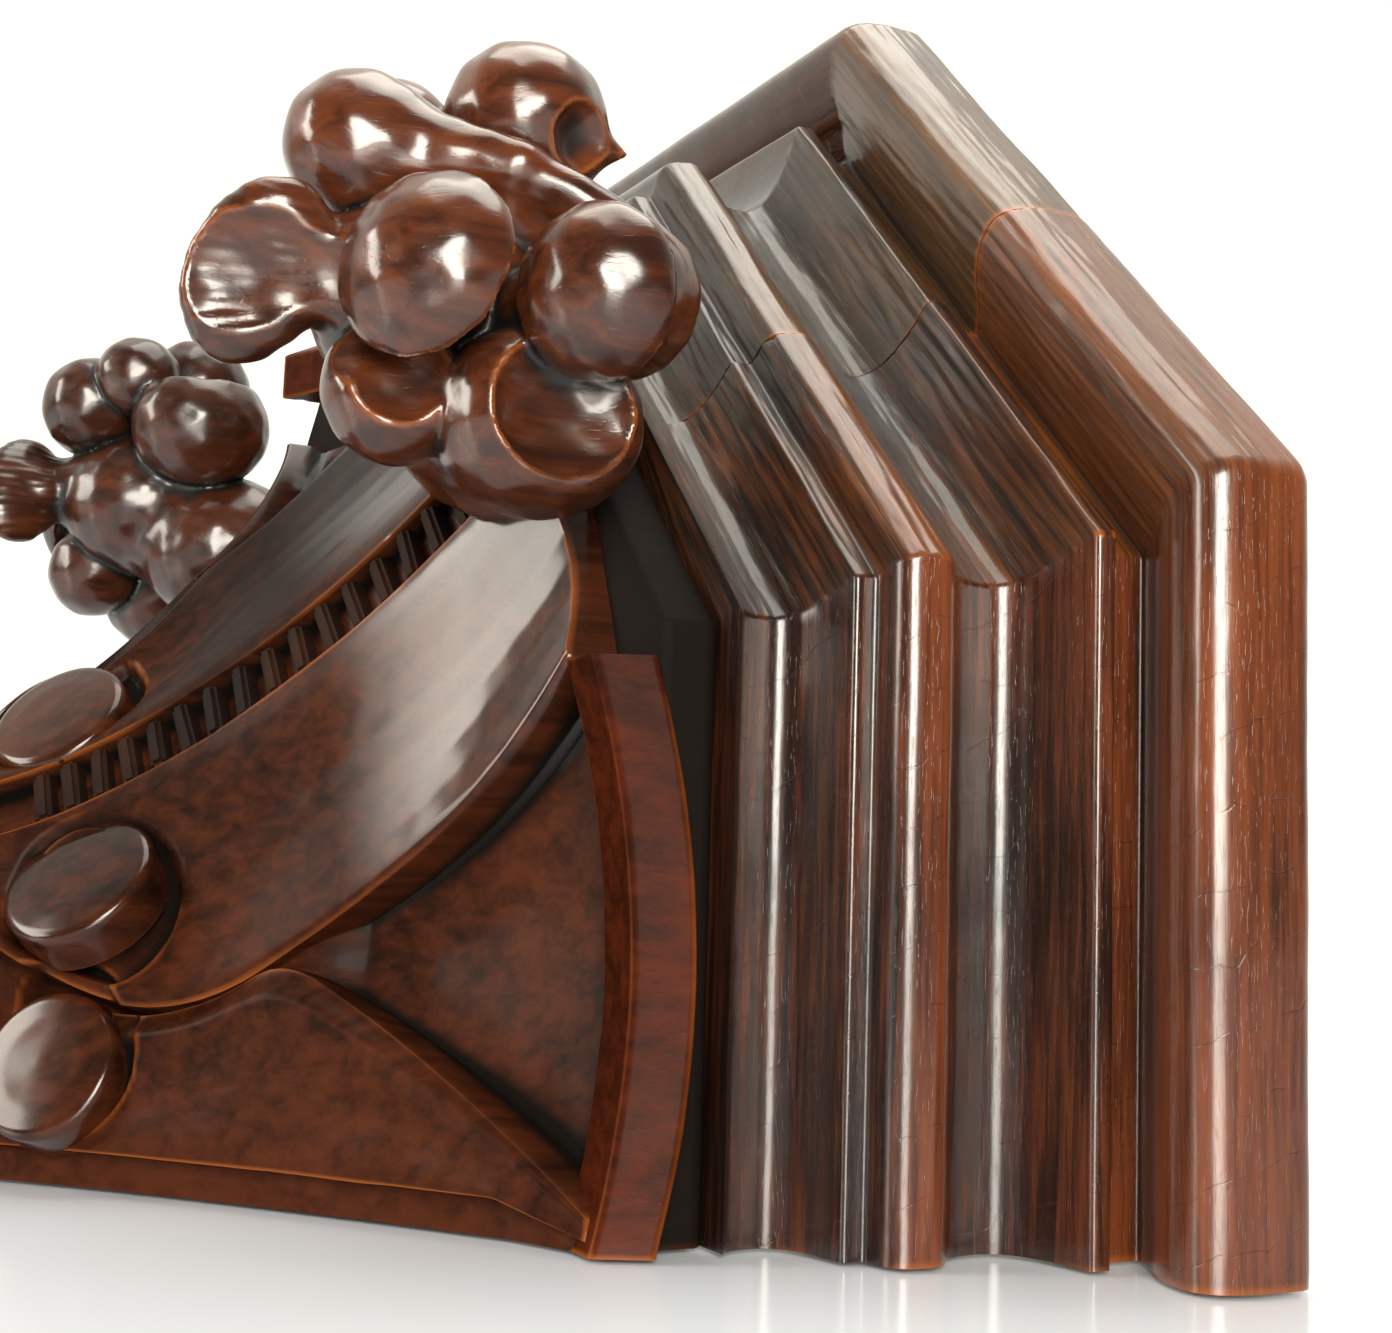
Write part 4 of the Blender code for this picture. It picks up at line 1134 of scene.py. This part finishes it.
def surface_of(field, low, high, step):
    """Skin of a carved form: one point in each cell it crosses, one face on each crossed edge."""
    axes = [np.arange(a, b, step) for a, b in zip(low, high)]
    shape = tuple(len(axis) for axis in axes)
    values = np.empty(shape, np.float32)
    for i, x in enumerate(axes[0]):
        layer = np.empty(shape[1:] + (3,), np.float32)
        layer[..., 0], layer[..., 1], layer[..., 2] = x, axes[1][:, None], axes[2][None, :]
        values[i] = field(layer)
    inside = values < 0
    cells = tuple(n - 1 for n in shape)
    total, hits = np.zeros(cells + (3,), np.float32), np.zeros(cells, np.float32)
    crossed = []
    for axis in range(3):
        first = tuple(slice(0, -1) if k == axis else slice(None) for k in range(3))
        second = tuple(slice(1, None) if k == axis else slice(None) for k in range(3))
        change = inside[first] != inside[second]
        gap = values[first] - values[second]
        share = np.where(change, values[first] / np.where(change, gap, 1), 0)
        crossed.append((change, inside[first]))
        others = [k for k in range(3) if k != axis]
        for da in (0, 1):
            for db in (0, 1):
                pick = [slice(None)] * 3
                pick[others[0]] = slice(da, da + cells[others[0]])
                pick[others[1]] = slice(db, db + cells[others[1]])
                hit = change[tuple(pick)]
                hits += hit
                total[..., axis] += np.where(hit, share[tuple(pick)], 0)
                total[..., others[0]] += hit * da
                total[..., others[1]] += hit * db
    used = hits > 0
    number = np.full(cells, -1)
    number[used] = np.arange(used.sum())
    corner = np.argwhere(used)
    points = (corner + total[used] / hits[used][:, None]) * step + np.array(low)
    faces = []
    for axis, (change, solid) in enumerate(crossed):
        a, b = [k for k in range(3) if k != axis]
        spots = np.argwhere(change)
        spots = spots[(spots[:, a] > 0) & (spots[:, b] > 0)
                      & (spots[:, a] < cells[a]) & (spots[:, b] < cells[b])]
        quad = []
        for da, db in ((-1, -1), (0, -1), (0, 0), (-1, 0)):
            cell = spots.copy()
            cell[:, a] += da
            cell[:, b] += db
            quad.append(number[tuple(cell.T)])
        quad = np.stack(quad, 1)
        turn = solid[tuple(spots.T)] ^ (axis == 1)
        faces.append(np.where(turn[:, None], quad, quad[:, ::-1]))
    return points, np.concatenate(faces)


def settle_on(field, points, faces):
    """Spread the points evenly and bring each back onto the form."""
    ends = np.concatenate((faces[:, [0, 1]], faces[:, [1, 2]], faces[:, [2, 3]], faces[:, [3, 0]]))
    share = np.bincount(ends[:, 0])[:, None]
    for _ in range(3):
        points = 0.5 * points + 0.5 * sum_near(points, ends[:, 0], ends[:, 1]) / share
        for _ in range(2):
            value = field(points)
            slope = np.stack([field(points + 0.05 * axis) - field(points - 0.05 * axis)
                              for axis in np.eye(3)], 1) / 0.1
            size = np.maximum((slope * slope).sum(1), 0.2)
            points = points - 0.9 * (value / size)[:, None] * slope
    return points


boss_points, boss_faces = surface_of(gouged, (-31, -36, -38), (34, 37, 33), BOSS_CELL)
boss_points = settle_on(gouged, boss_points, boss_faces) / 1000
boss_points = (BOSS_OUT + boss_points[:, :1]) * OUTWARD \
    + (DIAGONAL_SHIFT + boss_points[:, 1:2]) * ACROSS \
    + (BOSS_UP + boss_points[:, 2:]) * np.array((0, 0, 1.0))
boss_faces = boss_faces.tolist()
add_carved(new_piece("right_boss", boss_points, boss_faces), CARVER_WAVES, 7.0)
# the left boss alone gets added darkening: painted shade, as it gets less light
add_carved(new_piece("left_boss", boss_points * (-1, 1, 1), boss_faces), CARVER_WAVES, 11.0,
           added_dirt_and_shade=0.22)


# Stage: the shelf lies on its back on a white table, so the table is the wall plane. A big
# window behind the camera and another to the left give the soft highlights.

TABLE_GAP = 0.0006


def table_outline():
    """The table's far edge runs square to the view; its hole lies inside the shelf's back."""
    ahead, beside = np.array((-0.889, 0.4576)), np.array((0.4576, 0.889))
    start = np.array((0.3259, -0.1327))
    outer = [start + ahead * a + beside * b
             for a, b in ((0.72, -2.0), (0.72, 2.0), (-0.5, 2.0), (-0.5, -2.0))]
    right = [(0.140, 0.036), (0.126, 0.034), (0.115, 0.022), (0.102, -0.008), (0.094, -0.030),
             (0.050, -0.045), (0.024, -0.080), (0.014, -0.130)]
    return outer, right + [(-x, z) for x, z in reversed(right)]


def make_table():
    bm = bmesh.new()
    edges = []
    for loop in table_outline():
        verts = [bm.verts.new((x, TABLE_GAP, z)) for x, z in loop]
        edges += [bm.edges.new((a, b)) for a, b in zip(verts, verts[1:] + verts[:1])]
    bmesh.ops.triangle_fill(bm, edges=edges, use_beauty=True)
    bmesh.ops.recalc_face_normals(bm, faces=bm.faces)
    for face in bm.faces:
        if face.normal.y > 0:
            face.normal_flip()
    table = object_from(bm, "table")
    bpy.context.scene.collection.objects.link(table)
    return table


table = make_table()
material = bpy.data.materials.new("white_table")
material.use_nodes = True
tree = material.node_tree
shader = tree.nodes["Principled BSDF"]
shader.inputs["Base Color"].default_value = (0.74, 0.77, 0.84, 1)
shader.inputs["Roughness"].default_value = 0.16
clear = tree.nodes.new("ShaderNodeBsdfTransparent")
behind = tree.nodes.new("ShaderNodeNewGeometry").outputs["Backfacing"]
both = wire(tree, "ShaderNodeMixShader", in0=behind, in1=shader.outputs[0],
            in2=clear.outputs[0])
tree.links.new(both.outputs[0], tree.nodes["Material Output"].inputs["Surface"])
table.data.materials.append(material)

# the photograph's own camera, about 28 cm from the near corner
VIEWPOINT = Vector((0.3259, -0.04585, -0.1327))
camera = bpy.data.objects.new("camera", bpy.data.cameras.new("camera"))
camera.data.sensor_width = 36.0
camera.data.lens = 52.086
camera.data.clip_start = 0.01
right, down, ahead = (Vector(v) for v in ((0.459984, -0.028781, 0.887461),
                                          (-0.074984, 0.994645, 0.071122),
                                          (-0.884756, -0.099260, 0.455362)))
turned = Matrix((right, -down, -ahead)).transposed().to_4x4()
camera.matrix_world = Matrix.Translation(VIEWPOINT) @ turned
bpy.context.scene.collection.objects.link(camera)
bpy.context.scene.camera = camera

MIDDLE = Vector((0.09, -0.07, -0.02))
DAYLIGHT = (1.0, 0.965, 0.86)


def window(name, place, size, power):
    """A soft rectangular light that faces the shelf; place is right, up and toward the camera."""
    lamp = bpy.data.lights.new(name, "AREA")
    lamp.shape = "RECTANGLE"
    lamp.size, lamp.size_y = size
    lamp.energy = power
    lamp.color = DAYLIGHT
    light = bpy.data.objects.new(name, lamp)
    light.location = MIDDLE + right * place[0] - down * place[1] - ahead * place[2]
    light.rotation_euler = (MIDDLE - light.location).to_track_quat("-Z", "Y").to_euler()
    bpy.context.scene.collection.objects.link(light)


window("main_window", (0.12, 0.30, 0.92), (0.50, 0.42), 19.0)
window("left_window", (-0.95, 0.40, 0.15), (0.30, 0.7), 8.5)
window("overhead", (0.1, 1.1, -0.3), (0.8, 0.8), 9.0)

world = bpy.data.worlds.new("pale_room")
bpy.context.scene.world = world
world.use_nodes = True
tree = world.node_tree
sky = tree.nodes["Background"]
toward = tree.nodes.new("ShaderNodeTexCoord").outputs["Generated"]
back = wire(tree, "ShaderNodeVectorMath", {"operation": "DOT_PRODUCT"}, in0=toward,
            in1=(-0.80, -0.35, 0.45)).outputs["Value"]
glow = spread(tree, back, -0.15, 0.75, To_Min=0.07, To_Max=1.15)
tree.links.new(glow, sky.inputs["Strength"])
sky.inputs["Color"].default_value = (1.0, 0.975, 0.87, 1)
bpy.context.scene.view_settings.view_transform = "Standard"

bpy.context.view_layer.update()
